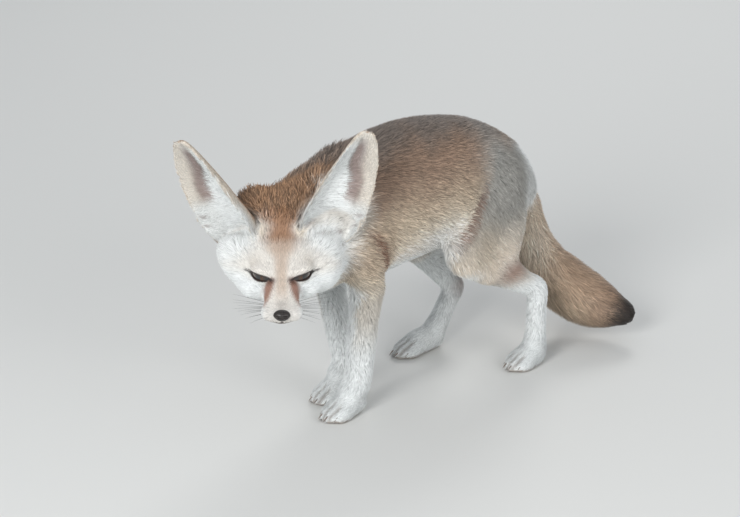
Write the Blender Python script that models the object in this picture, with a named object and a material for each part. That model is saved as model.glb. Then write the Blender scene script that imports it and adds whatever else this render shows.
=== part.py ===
# Life-size fennec fox, standing with its head held low and turned to its left.
# The outer surface of each solid is the tips of the coat.
# The fox faces -Y, its left side is +X, and its soles rest on Z = 0.

import math

import bmesh
import bpy
from mathutils import Matrix, Vector

CM = 0.01
# The posed skeleton is written about the middle of the four footprints.
# This moves the middle of the whole model's box to the origin.
BOX_MIDDLE = (0.86, -0.05)

JOIN_GAP = 0.0003
FLESH_VOXEL = 0.0017
FLESH_SMOOTHING = 16
FLESH_TRIANGLES = 4000
SPAN_STEPS = 5
TUBE_SIDES = 26
# Where each toe lies across the paw, and its share of the longest toe's reach.
TOES = ((-1.0, 0.72), (-0.36, 1.0), (0.36, 1.0), (1.0, 0.72))
TOE_REACH = 2.1
LONG_TOE_REACH = 2.5
FORE_SPREAD = 0.86
HIND_SPREAD = 0.8
PAW_TOP = 2.3
SHANK_TOP = 10.2


def at(x, y, z):
    """A place in the posed skeleton, given in centimetres."""
    return Vector((x - BOX_MIDDLE[0], y - BOX_MIDDLE[1], z)) * CM


# Head: its own frame is centred between the eyes.
HEAD_MIDDLE = at(3.7, -14.9, 13.8)
HEAD_YAW = math.radians(52.0)
HEAD_PITCH = math.radians(-3.0)
HEAD_AXES = Matrix.Rotation(HEAD_YAW, 3, "Z") @ Matrix.Rotation(-HEAD_PITCH, 3, "X")
EYE_CENTRE = (-0.25, 1.38, 0.0)
EYE_RADIUS = 0.7
EYE_TURN = 30
EYE_SLANT = 24
CLAW_RADIUS = 0.11
NOSE_CENTRE = (3.45, 0, -1.32)
NOSE_RADII = (0.4, 0.6, 0.42)
# Ears, in the head's frame: side 1 is the left ear. The right one is turned further out.
EAR_BASES = {1: (-3.1, 3.33, 2.4), -1: (-3.1, -3.83, 2.35)}
EAR_TIPS = {1: (-2.3, 6.15, 10.0), -1: (-2.3, -7.05, 9.45)}
EAR_TURNS = {1: 14, -1: 38}


def on_head(forward, left, up):
    """A place in the head's own frame, in centimetres: nose forward, left ear left."""
    return HEAD_MIDDLE + HEAD_AXES @ Vector((left, -forward, up)) * CM


def head_way(forward, left, up):
    return (HEAD_AXES @ Vector((left, -forward, up))).normalized()


X_AXIS = Vector((1, 0, 0))
HEAD_SIDE = head_way(0, 1, 0)


def material(name, colour, roughness):
    made = bpy.data.materials.new(name)
    made.use_nodes = True
    shader = made.node_tree.nodes["Principled BSDF"]
    shader.inputs["Base Color"].default_value = (*colour, 1.0)
    shader.inputs["Roughness"].default_value = roughness
    shader.inputs["Metallic"].default_value = 0.0
    return made


def new_object(name, mesh_maker):
    """An object whose mesh is what mesh_maker adds to an empty bmesh."""
    shape = bmesh.new()
    mesh_maker(shape)
    bmesh.ops.recalc_face_normals(shape, faces=shape.faces)
    mesh = bpy.data.meshes.new(name)
    shape.to_mesh(mesh)
    shape.free()
    made = bpy.data.objects.new(name, mesh)
    bpy.context.scene.collection.objects.link(made)
    return made


def helper(obj):
    """Cutters and guides aren't part of the fox."""
    obj.hide_render = True
    obj.display_type = "WIRE"
    return obj


def spline(values, position):
    """Catmull-Rom interpolation of a list of numbers or vectors, position counting spans."""
    span = min(int(position), len(values) - 2)
    t = position - span
    before = values[max(span - 1, 0)]
    start, end = values[span], values[span + 1]
    after = values[min(span + 2, len(values) - 1)]
    bend = 2 * before - 5 * start + 4 * end - after
    turn = -before + 3 * start - 3 * end + after
    return 0.5 * (2 * start + (end - before) * t + bend * t * t + turn * t * t * t)


def ring(shape, centre, across, deep, sides):
    """One loop of vertices on an ellipse with these two half axes."""
    turns = [2 * math.pi * k / sides for k in range(sides)]
    return [
        shape.verts.new(centre + across * math.cos(a) + deep * math.sin(a))
        for a in turns
    ]


def limb(shape, stations, side, sides=TUBE_SIDES, dome=0.6):
    """A smooth tube through (place, half width, half depth) stations, with domed ends.

    side is the direction of the half width, and the half depth is square to it."""
    places = [s[0] for s in stations]
    widths = [s[1] * CM for s in stations]
    depths = [s[2] * CM for s in stations]
    count = (len(stations) - 1) * SPAN_STEPS
    frames = []
    for k in range(count + 1):
        position = k / SPAN_STEPS
        centre = spline(places, position)
        ahead = spline(places, min(position + 0.1, len(places) - 1))
        behind = spline(places, max(position - 0.1, 0))
        tangent = (ahead - behind).normalized()
        across = (side - tangent * side.dot(tangent)).normalized()
        deep = tangent.cross(across)
        frames.append(
            (centre, tangent, across * spline(widths, position), deep * spline(depths, position))
        )
    loops = []
    for end, frame in ((-1, frames[0]), (1, frames[-1])):
        centre, tangent, across, deep = frame
        reach = dome * min(across.length, deep.length)
        cap = []
        for step in (1, 2, 3):
            turn = math.radians(24 * step)
            middle = centre + tangent * end * reach * math.sin(turn)
            cap.append((middle, across * math.cos(turn), deep * math.cos(turn)))
        loops.append(cap)
    rows = [(m, a, d) for m, a, d in reversed(loops[0])]
    rows += [(c, a, d) for c, _, a, d in frames]
    rows += loops[1]
    rings = [ring(shape, *row, sides) for row in rows]
    for low, high in zip(rings, rings[1:]):
        for k in range(sides):
            after = (k + 1) % sides
            shape.faces.new((low[k], low[after], high[after], high[k]))
    shape.faces.new(rings[0])
    shape.faces.new(rings[-1])


def lump(shape, centre, radii, axes=None):
    """An ellipsoid of muscle, fat or thick coat."""
    turn = (axes or Matrix.Identity(3)).to_4x4()
    size = Matrix.Diagonal((*[r * CM for r in radii], 1))
    bmesh.ops.create_uvsphere(
        shape,
        u_segments=24,
        v_segments=16,
        radius=1,
        matrix=Matrix.Translation(centre) @ turn @ size,
    )


def trunk(shape):
    """Chest, arched back, loin and rump: (Y, middle X, top, bottom, half width)."""
    rows = (
        (-10.0, 0.4, 16.4, 10.8, 2.5),
        (-8.6, 0.1, 18.9, 9.9, 3.4),
        (-6.6, 0.0, 20.1, 9.7, 3.8),
        (-4.4, -0.1, 20.7, 9.9, 4.1),
        (-2.0, -0.2, 21.1, 10.2, 4.4),
        (0.5, -0.3, 21.2, 10.4, 4.6),
        (3.0, -0.3, 21.0, 11.0, 4.5),
        (5.4, -0.2, 20.4, 11.8, 4.2),
        (7.4, -0.1, 19.25, 12.2, 4.0),
        (9.1, -0.1, 17.7, 12.0, 3.6),
        (10.5, -0.1, 15.8, 11.4, 2.9),
        (11.6, -0.1, 13.9, 10.8, 2.1),
    )
    stations = [
        (at(x, y, (top + low) / 2), half, (top - low) / 2) for y, x, top, low, half in rows
    ]
    limb(shape, stations, X_AXIS, sides=36)


def neck(shape):
    """Thick furred neck, curving from the shoulders to the back of the turned head."""
    limb(
        shape,
        [
            (at(0.0, -4.6, 15.6), 3.8, 4.7),
            (at(-0.4, -7.2, 15.3), 3.8, 4.4),
            (at(-0.9, -9.6, 14.8), 3.5, 3.8),
            (at(-0.8, -11.5, 14.3), 3.1, 3.2),
            (at(0.5, -12.9, 14.0), 2.8, 2.8),
        ],
        Vector((1, 0.35, 0)).normalized(),
    )
    lump(shape, at(-2.2, -12.2, 15.8), (1.9, 2.1, 2.4))
    lump(shape, at(1.0, -9.4, 13.3), (2.8, 2.6, 2.8))


def skull(shape):
    """Head and muzzle: (forward, half width, top, bottom) in the head's frame."""
    rows = (
        (-5.8, 2.9, 1.8, -2.4),
        (-4.6, 3.3, 2.3, -2.6),
        (-3.2, 3.4, 2.4, -2.7),
        (-2.0, 3.2, 2.2, -2.6),
        (-1.0, 2.75, 1.75, -2.45),
        (0.0, 2.0, 1.15, -2.3),
        (0.8, 1.4, 0.5, -2.25),
        (1.6, 1.28, -0.05, -2.25),
        (2.4, 1.12, -0.55, -2.25),
        (3.2, 0.92, -0.92, -2.2),
    )
    stations = [
        (on_head(f, 0, (top + low) / 2), half, (top - low) / 2) for f, half, top, low in rows
    ]
    limb(shape, stations, HEAD_SIDE, dome=0.7)
    lump(shape, on_head(-2.5, 2.35, -0.5), (2.1, 2.1, 1.9), HEAD_AXES)
    lump(shape, on_head(-2.6, -2.0, -0.1), (1.9, 1.7, 1.7), HEAD_AXES)
    lump(shape, on_head(-0.5, -1.65, -0.95), (1.5, 1.1, 1.05), HEAD_AXES)
    lump(shape, on_head(-1.5, -2.05, -1.0), (1.5, 1.1, 1.1), HEAD_AXES)
    lump(shape, on_head(-0.5, 1.5, -0.95), (1.4, 1.0, 1.0), HEAD_AXES)
    for side in (-1, 1):
        lump(shape, on_head(-0.25, 1.35 * side, 0.6), (1.05, 1.0, 0.6), HEAD_AXES)
        lump(shape, on_head(2.5, 0.66 * side, -1.55), (0.8, 1.0, 0.62), HEAD_AXES)
        base = EAR_BASES[side]
        limb(
            shape,
            [
                (on_head(-2.9, 2.5 * side, -0.6), 1.6, 1.7),
                (on_head(-3.1, (base[1] + 2.5 * side) / 2, 0.4), 1.6, 1.65),
                (on_head(base[0] - 0.1, base[1] * 0.95, base[2] - 1.15), 1.3, 1.35),
            ],
            HEAD_SIDE,
            sides=20,
        )


def front_leg(shape, side, elbow, wrist, paw):
    """Shoulder, upper arm, forearm and paw. side is 1 for left."""
    lump(shape, at(2.4 * side, -6.0, 15.2), (1.7, 2.9, 3.9))
    limb(
        shape,
        [
            (at(2.4 * side, -6.9, 14.6), 1.7, 2.5),
            (at(2.7 * side, -6.4, 12.6), 1.7, 2.2),
            (at(*elbow), 1.4, 1.6),
            (at(*elbow).lerp(at(*wrist), 0.33), 1.15, 1.28),
            (at(*elbow).lerp(at(*wrist), 0.7), 1.15, 1.2),
            (at(*wrist), 1.12, 1.12),
            (at(*wrist).lerp(at(*paw), 0.6), 1.14, 1.05),
        ],
        X_AXIS,
    )


def foot(shape, ball, heel, toe_reach, spread):
    """A furred paw: a pad and four toes, the middle two longest. The sole is cut flat later."""
    bx, by, bz = ball
    limb(
        shape,
        [
            (at(*heel), 0.9, 0.95),
            (at(bx, by, bz), 1.15, 1.05),
            (at(bx, by - 0.9, bz - 0.2), 1.1, 0.8),
        ],
        X_AXIS,
        sides=18,
    )
    for place, length in TOES:
        x = bx + place * spread
        tip = by - toe_reach * length
        limb(
            shape,
            [
                (at(bx + place * spread * 0.7, by + 0.1, bz * 0.8), 0.44, 0.55),
                (at(x, tip + 0.75, bz * 0.6), 0.45, 0.6),
                (at(x, tip + 0.05, 0.24), 0.42, 0.48),
            ],
            X_AXIS,
            sides=14,
        )


def hind_leg(shape, side, knee, hock, ball):
    """Haunch, thigh, shank and the long rear foot down to the ball."""
    hip = at(2.1 * side, 6.6, 15.2)
    knee_at, hock_at, ball_at = at(*knee), at(*hock), at(*ball)
    lump(shape, at(2.1 * side, 6.6, 14.9), (2.2, 3.6, 3.4))
    limb(
        shape,
        [
            (at(2.0 * side, 8.2, 14.2), 1.7, 1.8),
            (at(2.6 * side, 8.0, 11.8), 1.5, 1.8),
            (knee_at.lerp(hock_at, 0.5) + Vector((0, 0, 0.9)) * CM, 1.2, 1.4),
            (knee_at.lerp(hock_at, 0.8), 0.85, 1.0),
        ],
        X_AXIS,
    )
    limb(
        shape,
        [
            (hip, 2.0, 3.3),
            (hip.lerp(knee_at, 0.5), 1.75, 2.9),
            (knee_at, 1.35, 1.7),
            (knee_at.lerp(hock_at, 0.3), 1.2, 1.5),
            (knee_at.lerp(hock_at, 0.65), 0.95, 1.15),
            (knee_at.lerp(hock_at, 0.93), 0.82, 0.95),
        ],
        X_AXIS,
    )
    limb(
        shape,
        [
            (knee_at.lerp(hock_at, 0.85), 0.82, 0.9),
            (hock_at, 0.86, 0.92),
            (hock_at.lerp(ball_at, 0.3), 0.84, 0.88),
            (hock_at.lerp(ball_at, 0.7), 0.88, 0.88),
            (ball_at, 1.0, 0.95),
        ],
        X_AXIS,
    )


def tail(shape):
    """Bushy tail: hangs from the rump and sweeps back and to the fox's left."""
    limb(
        shape,
        [
            (at(0.0, 10.8, 14.0), 1.6, 1.5),
            (at(-0.4, 12.4, 11.9), 1.4, 1.35),
            (at(-0.75, 13.2, 9.2), 1.9, 1.85),
            (at(-0.35, 13.95, 6.8), 2.15, 2.15),
            (at(1.05, 15.3, 4.7), 2.45, 2.45),
            (at(2.65, 16.5, 3.4), 2.3, 2.3),
            (at(4.15, 17.45, 2.8), 1.8, 1.8),
            (at(5.3, 18.2, 2.5), 1.05, 1.05),
        ],
        X_AXIS,
        dome=1.0,
    )


FORE_LEFT = dict(elbow=(2.6, -6.1, 10.4), wrist=(1.9, -6.4, 2.9), paw=(1.7, -7.3, 0.85))
FORE_RIGHT = dict(elbow=(-2.5, -5.8, 10.4), wrist=(-1.35, -4.9, 2.9), paw=(-1.2, -5.9, 0.85))
HIND_LEFT = dict(knee=(3.7, 2.3, 11.05), hock=(3.8, 10.2, 6.3), ball=(3.8, 10.1, 0.9))
HIND_TOES_LEFT = (3.8, 9.5, 0.75)
HIND_TOES_RIGHT = (-3.75, 4.7, 0.75)
HIND_RIGHT = dict(knee=(-3.8, 2.5, 11.3), hock=(-3.5, 8.1, 4.7), ball=(-3.6, 5.9, 1.1))


def whole_body(shape):
    trunk(shape)
    neck(shape)
    skull(shape)
    front_leg(shape, 1, **FORE_LEFT)
    front_leg(shape, -1, **FORE_RIGHT)
    hind_leg(shape, 1, **HIND_LEFT)
    hind_leg(shape, -1, **HIND_RIGHT)
    foot(shape, FORE_LEFT["paw"], (1.85, -6.3, 1.1), TOE_REACH, FORE_SPREAD)
    foot(shape, FORE_RIGHT["paw"], (-1.3, -4.8, 1.1), TOE_REACH, FORE_SPREAD)
    foot(shape, HIND_TOES_LEFT, (3.8, 10.4, 0.9), TOE_REACH, HIND_SPREAD)
    foot(shape, HIND_TOES_RIGHT, (-3.6, 6.3, 0.9), LONG_TOE_REACH, HIND_SPREAD)
    tail(shape)


def evaluated(obj):
    """The object's mesh with its modifiers applied, as a new mesh."""
    bpy.context.view_layer.update()
    graph = bpy.context.evaluated_depsgraph_get()
    return bpy.data.meshes.new_from_object(obj.evaluated_get(graph))


def settle(obj):
    """Applies the object's modifiers."""
    mesh = evaluated(obj)
    obj.modifiers.clear()
    obj.data = mesh


def bulk(place):
    """How large the forms are here: 1 on the body, small on the face and the feet."""
    from_nose = (place - on_head(2.5, 0, -1)).length / CM
    face = min(max((from_nose - 1.0) / 4.5, 0), 1)
    height = min(max((place.z / CM - 1.2) / 7.0, 0), 1)
    return 0.2 + 0.8 * min(face, height)


def joined_flesh():
    """All the forms as one smooth surface with a sensible number of triangles."""
    body = new_object("flesh", whole_body)
    joined = body.modifiers.new("join", "REMESH")
    joined.mode = "VOXEL"
    joined.voxel_size = FLESH_VOXEL
    settle(body)
    group = body.vertex_groups.new(name="bulk")
    for vertex in body.data.vertices:
        group.add([vertex.index], bulk(vertex.co), "REPLACE")
    softened = body.modifiers.new("soften", "SMOOTH")
    softened.factor = 0.8
    softened.iterations = FLESH_SMOOTHING
    softened.vertex_group = "bulk"
    settle(body)
    body.data.calc_loop_triangles()
    reduced = body.modifiers.new("reduce", "DECIMATE")
    reduced.ratio = FLESH_TRIANGLES / len(body.data.loop_triangles)
    reduced.use_collapse_triangulate = True
    settle(body)
    body.vertex_groups.clear()
    return body


def boolean(obj, cutter, operation):
    cut = obj.modifiers.new("cut", "BOOLEAN")
    cut.object = cutter
    cut.operation = operation
    cut.solver = "EXACT"
    settle(obj)


def block(planes, grown=0.0):
    """A convex block inside (place, outward direction) planes, grown by a clearance."""

    def build(shape):
        bmesh.ops.create_cube(shape, size=1.0)
        for place, outward in planes:
            way = outward.normalized()
            geometry = shape.verts[:] + shape.edges[:] + shape.faces[:]
            cut = bmesh.ops.bisect_plane(
                shape,
                geom=geometry,
                plane_co=place + way * grown,
                plane_no=way,
                clear_outer=True,
            )
            edges = [e for e in cut["geom_cut"] if isinstance(e, bmesh.types.BMEdge)]
            if edges:
                bmesh.ops.contextual_create(shape, geom=edges)

    return helper(new_object("block", build))


def copied(obj, name):
    other = bpy.data.objects.new(name, obj.data.copy())
    bpy.context.scene.collection.objects.link(other)
    return other


def removed(obj):
    bpy.data.objects.remove(obj)


def take(body, name, planes):
    """Parts the piece inside the planes from the body, with a clearance between them."""
    piece = copied(body, name)
    inside = block(planes)
    boolean(piece, inside, "INTERSECT")
    removed(inside)
    outside = block(planes, JOIN_GAP)
    boolean(body, outside, "DIFFERENCE")
    removed(outside)
    return piece


def grown_copy(obj, clearance):
    """The object's shape, moved out along its normals."""
    other = helper(copied(obj, "clearance"))
    swell = other.modifiers.new("swell", "DISPLACE")
    swell.strength = clearance
    swell.mid_level = 0.0
    settle(other)
    return other


def ellipsoid(name, centre, radii, axes, rings):
    """An ellipsoid with its centre in metres and its radii in centimetres."""
    size = Matrix.Diagonal((*[r * CM for r in radii], 1))
    place = Matrix.Translation(centre) @ axes.to_4x4() @ size

    def build(shape):
        bmesh.ops.create_uvsphere(
            shape, u_segments=rings * 2, v_segments=rings, radius=1, matrix=place
        )

    return new_object(name, build)


def eye_axes(side):
    """The eye looks forward and outward, and its opening slants down to the nose."""
    turn = Matrix.Rotation(math.radians(EYE_TURN * side), 3, "Z")
    slant = Matrix.Rotation(math.radians(-EYE_SLANT * side), 3, "Y")
    return HEAD_AXES @ turn @ slant


def cut_clear(body, cutter):
    """Cuts the cutter's shape from the body and removes the cutter."""
    boolean(body, cutter, "DIFFERENCE")
    removed(cutter)


def make_eyes(head):
    for side, name in ((1, "eye_left"), (-1, "eye_right")):
        forward, left, up = EYE_CENTRE
        centre = on_head(forward, left * side, up)
        axes = eye_axes(side)
        ball = [EYE_RADIUS] * 3
        room = [EYE_RADIUS + JOIN_GAP / CM] * 3
        cut_clear(head, helper(ellipsoid("room", centre, room, axes, 8)))
        opening = centre + axes @ Vector((0, -0.75, -0.02)) * CM
        cut_clear(head, helper(ellipsoid("opening", opening, (0.82, 0.7, 0.42), axes, 6)))
        eye = ellipsoid(name, centre, ball, axes, 8)
        eye.data.materials.append(EYE_LOOK)


def make_nose(head):
    centre = on_head(*NOSE_CENTRE)
    across = (NOSE_RADII[1], NOSE_RADII[0], NOSE_RADII[2])
    nose = ellipsoid("nose", centre, across, HEAD_AXES, 7)
    nose.data.materials.append(NOSE_LOOK)
    cut_clear(head, grown_copy(nose, JOIN_GAP))


# How far up the ear, half width to the side, half width to the middle, hollow, thickness.
EAR_ROWS = (
    (-0.2, 1.7, 1.6, 1.9, 0.5),
    (-0.07, 2.2, 1.95, 1.8, 0.5),
    (0.08, 2.55, 2.0, 1.6, 0.46),
    (0.22, 2.5, 1.85, 1.4, 0.42),
    (0.38, 2.35, 1.7, 1.2, 0.38),
    (0.54, 2.15, 1.45, 0.98, 0.36),
    (0.7, 1.85, 1.15, 0.75, 0.34),
    (0.83, 1.48, 0.92, 0.52, 0.32),
    (0.93, 1.08, 0.72, 0.3, 0.3),
    (1.0, 0.58, 0.42, 0.14, 0.26),
)
EAR_ARC = math.radians(82)
EAR_COLUMNS = 11
EAR_LOOPS = 16


def make_ear(side, name, flesh):
    """A deep scoop with its hollow to the front, widest low down and pointed at the tip."""
    root = on_head(*EAR_BASES[side])
    axis = on_head(*EAR_TIPS[side]) - root
    up = axis.normalized()
    turn = math.radians(EAR_TURNS[side])
    front = head_way(math.cos(turn), math.sin(turn) * side, 0)
    front = (front - up * front.dot(up)).normalized()
    outward = front.cross(up).normalized() * -1
    if outward.dot(head_way(0, side, 0)) < 0:
        outward = -outward

    rows = [Vector(row) for row in EAR_ROWS]

    def build(shape):
        backs = []
        hollows = []
        for row in range(EAR_LOOPS):
            position = row * (len(EAR_ROWS) - 1) / (EAR_LOOPS - 1)
            height, wide, narrow, depth, thick = spline(rows, position)
            back = []
            hollow = []
            for k in range(EAR_COLUMNS):
                across = -1 + 2 * k / (EAR_COLUMNS - 1)
                angle = across * EAR_ARC
                half = wide if across > 0 else narrow
                side_step = math.sin(angle) / math.sin(EAR_ARC)
                sink = (math.cos(angle) - math.cos(EAR_ARC)) / (1 - math.cos(EAR_ARC))
                middle = root + axis * height
                inner = middle + outward * (half - 0.06) * side_step * CM
                inner -= front * (depth - thick / 2) * sink * CM
                outer = middle + outward * half * side_step * CM
                outer -= front * ((depth + thick / 2) * sink + 0.12) * CM
                hollow.append(shape.verts.new(inner))
                back.append(shape.verts.new(outer))
            backs.append(back)
            hollows.append(hollow)
        for low, high in zip(backs, backs[1:]):
            for k in range(EAR_COLUMNS - 1):
                shape.faces.new((low[k], low[k + 1], high[k + 1], high[k]))
        for low, high in zip(hollows, hollows[1:]):
            for k in range(EAR_COLUMNS - 1):
                shape.faces.new((low[k], high[k], high[k + 1], low[k + 1]))
        rims = [[b[0] for b in backs], [h[0] for h in hollows]]
        rims += [[h[-1] for h in hollows], [b[-1] for b in backs]]
        rims += [backs[-1], hollows[-1], hollows[0], backs[0]]
        for one, other in zip(rims[::2], rims[1::2]):
            for a, b, c, d in zip(one, one[1:], other[1:], other):
                shape.faces.new((a, b, c, d))

    ear = new_object(name, build)
    ear.data.materials.append(EAR_LOOK)
    cut_clear(ear, grown_copy(flesh, JOIN_GAP))
    return ear


def add_claws(paw, ball, toe_reach, spread):
    """Four curved claws, joined to the toes that they grow from."""
    bx, by, _ = ball
    for place, length in TOES:
        x = bx + place * spread
        tip = by - toe_reach * length

        root = at(x, tip + 0.3, 0.5)
        point = at(x, tip - 0.45, 0.14)
        along = point - root
        place = Matrix.Translation((root + point) / 2)
        turn = along.to_track_quat("Z", "X").to_matrix().to_4x4()

        def build(shape):
            bmesh.ops.create_cone(
                shape,
                cap_ends=True,
                segments=5,
                radius1=CLAW_RADIUS * CM,
                radius2=CLAW_RADIUS * CM / 4,
                depth=along.length,
                matrix=place @ turn,
            )

        claw = new_object("claw", build)
        boolean(paw, helper(claw), "UNION")
        removed(claw)


for old in list(bpy.data.objects):
    bpy.data.objects.remove(old)

SANDY_COAT = material("sandy_coat", (0.36, 0.25, 0.16), 0.95)
WHITE_COAT = material("white_coat", (0.72, 0.68, 0.6), 0.95)
EAR_LOOK = material("ear_coat", (0.6, 0.48, 0.38), 0.9)
DARK_COAT = material("dark_tail_tip", (0.05, 0.04, 0.035), 0.95)
EYE_LOOK = material("eye_glass", (0.02, 0.014, 0.01), 0.05)
NOSE_LOOK = material("nose_leather", (0.012, 0.011, 0.011), 0.45)

flesh = joined_flesh()
make_ear(1, "ear_left", flesh)
make_ear(-1, "ear_right", flesh)

DOWN = Vector((0, 0, -1))
LEFT = Vector((1, 0, 0))
BACK = Vector((0, 1, 0))

below_floor = block([(Vector((0, 0, 0)), -DOWN)])
cut_clear(flesh, below_floor)

# Each leg is parted from the sole up: the blocks below are bounded by the planes named here.
for side, word, fore, hind in (
    (1, "left", FORE_LEFT, HIND_LEFT),
    (-1, "right", FORE_RIGHT, HIND_RIGHT),
):
    between = (at(0.3, 0, 0), LEFT * -side)
    ahead = (at(0, -1, 0), BACK)
    behind = (at(0, 0.5, 0), -BACK)
    before_tail = (at(0, 11.0 + 0.6 * side, 0), BACK)
    beside_tail = (at(1.3 * side, 0, 0), LEFT * -side)
    forepaw = take(flesh, "forepaw_" + word, [(at(0, 0, PAW_TOP), -DOWN), between, ahead])
    add_claws(forepaw, fore["paw"], TOE_REACH, FORE_SPREAD)
    forepaw.data.materials.append(WHITE_COAT)

    armpit = (at(1.6 * side, -6.2, 9.6), Vector((-0.5 * side, 0, 0.86)))
    under_jaw = (at(0, -8.9, 0), -BACK)
    foreleg = take(flesh, "foreleg_" + word, [armpit, between, ahead, under_jaw])
    foreleg.data.materials.append(WHITE_COAT)

    hindpaw = take(flesh, "hindpaw_" + word, [(at(0, 0, PAW_TOP), -DOWN), between, behind, before_tail])
    hindpaw.data.materials.append(WHITE_COAT)

    shin = at(*hind["hock"]) - at(*hind["knee"])
    below_knee = (at(*hind["knee"]) + shin * 0.32, -shin)
    shank = take(
        flesh,
        "shank_" + word,
        [below_knee, (at(0, 0, SHANK_TOP), -DOWN), beside_tail, behind, before_tail],
    )
    shank.data.materials.append(WHITE_COAT)

add_claws(bpy.data.objects["hindpaw_left"], HIND_TOES_LEFT, TOE_REACH, HIND_SPREAD)
add_claws(bpy.data.objects["hindpaw_right"], HIND_TOES_RIGHT, LONG_TOE_REACH, HIND_SPREAD)

tip = take(flesh, "tail_tip", [(at(3.5, 17.2, 3.0), Vector((-0.8, -0.5, 0.2))), (at(2, 0, 0), -LEFT)])
tip.data.materials.append(DARK_COAT)
tail_root = (at(-0.2, 11.4, 12.6), Vector((0, -0.75, 0.66)))
brush = take(flesh, "tail", [tail_root, (at(0, 11.0, 0), -BACK)])
brush.data.materials.append(SANDY_COAT)

head = take(flesh, "head", [(at(0.3, -11.3, 14.0), Vector((-0.643, 0.766, -0.4)))])
head.data.materials.append(WHITE_COAT)
make_eyes(head)
make_nose(head)

ruff = take(flesh, "neck", [(at(-0.3, -8.2, 15.8), Vector((0, 0.911, -0.412)))])
ruff.data.materials.append(SANDY_COAT)

for side, word in ((1, "left"), (-1, "right")):
    fold = (at(4.2 * side, 3.1, 17.0), Vector((-0.857 * side, -0.464, 0.224)))
    midline = (at(0, 0, 0), LEFT * -side)
    thigh = take(flesh, "thigh_" + word, [fold, midline])
    thigh.data.materials.append(SANDY_COAT)

flesh.name = "trunk"
flesh.data.materials.append(SANDY_COAT)
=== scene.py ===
import math

import bmesh
import bpy
import numpy as np
from mathutils import Matrix, Vector
from mathutils.bvhtree import BVHTree


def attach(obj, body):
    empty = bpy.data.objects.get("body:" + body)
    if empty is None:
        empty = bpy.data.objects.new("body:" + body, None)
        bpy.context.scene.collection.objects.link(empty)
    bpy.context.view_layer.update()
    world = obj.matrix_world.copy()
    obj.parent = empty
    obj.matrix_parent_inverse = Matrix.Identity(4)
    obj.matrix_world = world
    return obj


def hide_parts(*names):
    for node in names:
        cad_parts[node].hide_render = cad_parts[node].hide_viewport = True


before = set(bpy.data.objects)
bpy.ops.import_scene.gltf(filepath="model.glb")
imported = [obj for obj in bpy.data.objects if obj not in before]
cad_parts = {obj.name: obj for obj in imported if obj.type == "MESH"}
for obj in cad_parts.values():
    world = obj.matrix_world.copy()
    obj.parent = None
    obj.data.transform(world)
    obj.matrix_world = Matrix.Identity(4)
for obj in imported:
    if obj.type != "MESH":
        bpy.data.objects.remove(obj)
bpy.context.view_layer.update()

# Camera
# A long lens held a little above the fox and to its front left, as a person crouching
# nearby would hold it. It looks down on the animal by 22 degrees.
lens = bpy.data.cameras.new("camera")
lens.lens = 121.6
lens.sensor_width = 36
lens.clip_start = 0.05
lens.clip_end = 40
camera = bpy.data.objects.new("camera", lens)
bpy.context.scene.collection.objects.link(camera)
camera.matrix_world = Matrix(
    (
        (0.64279, -0.28697, 0.71026, 1.3222),
        (0.76604, 0.24079, -0.59598, -1.1523),
        (0.0, 0.92718, 0.37461, 0.8134),
        (0.0, 0.0, 0.0, 1.0),
    )
)
bpy.context.scene.camera = camera

# Skin
# One hide over the whole body, as a mounted specimen has: it follows the flesh, and lies
# deeper than the coat's tips by the length of the fur that stands on each part.
CM = 0.01
SPINE_MIDDLE = np.array((0.86, -0.05, 0.0))
SKIN_VOXEL = 0.0018
HEAD_MIDDLE = Vector((0.0284, -0.1485, 0.138))
HEAD_AXES = Matrix.Rotation(math.radians(52), 3, "Z") @ Matrix.Rotation(math.radians(3), 3, "X")
NODE_NAMES = sorted(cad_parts)
FLESH = [name for name in NODE_NAMES if not name.startswith(("eye_", "nose"))]


def object_from(name, mesh, *materials):
    obj = bpy.data.objects.new(name, mesh)
    bpy.context.scene.collection.objects.link(obj)
    for look in materials:
        mesh.materials.append(look)
    return obj


def mesh_from(name, shape):
    mesh = bpy.data.meshes.new(name)
    shape.to_mesh(mesh)
    shape.free()
    return mesh


def settled(obj, name):
    """The mesh that an object's modifiers give; the object itself is removed."""
    bpy.context.view_layer.update()
    evaluated = obj.evaluated_get(bpy.context.evaluated_depsgraph_get())
    mesh = bpy.data.meshes.new_from_object(evaluated)
    mesh.name = name
    bpy.data.objects.remove(obj)
    return mesh


def points_of(mesh):
    flat = np.empty(len(mesh.vertices) * 3, dtype=np.float32)
    mesh.vertices.foreach_get("co", flat)
    return flat.reshape(-1, 3).astype(float)


def corners_of(mesh):
    mesh.calc_loop_triangles()
    flat = np.empty(len(mesh.loop_triangles) * 3, dtype=np.int32)
    mesh.loop_triangles.foreach_get("vertices", flat)
    return flat.reshape(-1, 3)


def edges_of(mesh):
    flat = np.empty(len(mesh.edges) * 2, dtype=np.int32)
    mesh.edges.foreach_get("vertices", flat)
    return flat.reshape(-1, 2)


def lengths_of(vectors):
    return np.linalg.norm(vectors, axis=1)


def unit(vectors):
    return vectors / np.maximum(np.linalg.norm(vectors, axis=-1, keepdims=True), 1e-9)


def normals_of(points, corners):
    a, b, c = (points[corners[:, k]] for k in range(3))
    across = np.cross(b - a, c - a)
    total = np.zeros_like(points)
    for k in range(3):
        for axis in range(3):
            total[:, axis] += np.bincount(corners[:, k], across[:, axis], len(points))
    return unit(total)


def evened(values, edges, rounds, share=0.5):
    """Values on the skin's points, drawn towards their neighbours' mean each round."""
    values = np.array(values, dtype=float)
    flat = values.reshape(len(values), -1)
    ends = np.concatenate((edges[:, 0], edges[:, 1]))
    others = np.concatenate((edges[:, 1], edges[:, 0]))
    count = np.maximum(np.bincount(ends, minlength=len(flat)), 1)
    for _ in range(rounds):
        for column in range(flat.shape[1]):
            mean = np.bincount(ends, flat[others, column], len(flat)) / count
            flat[:, column] += share * (mean - flat[:, column])
    return flat.reshape(values.shape)


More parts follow.
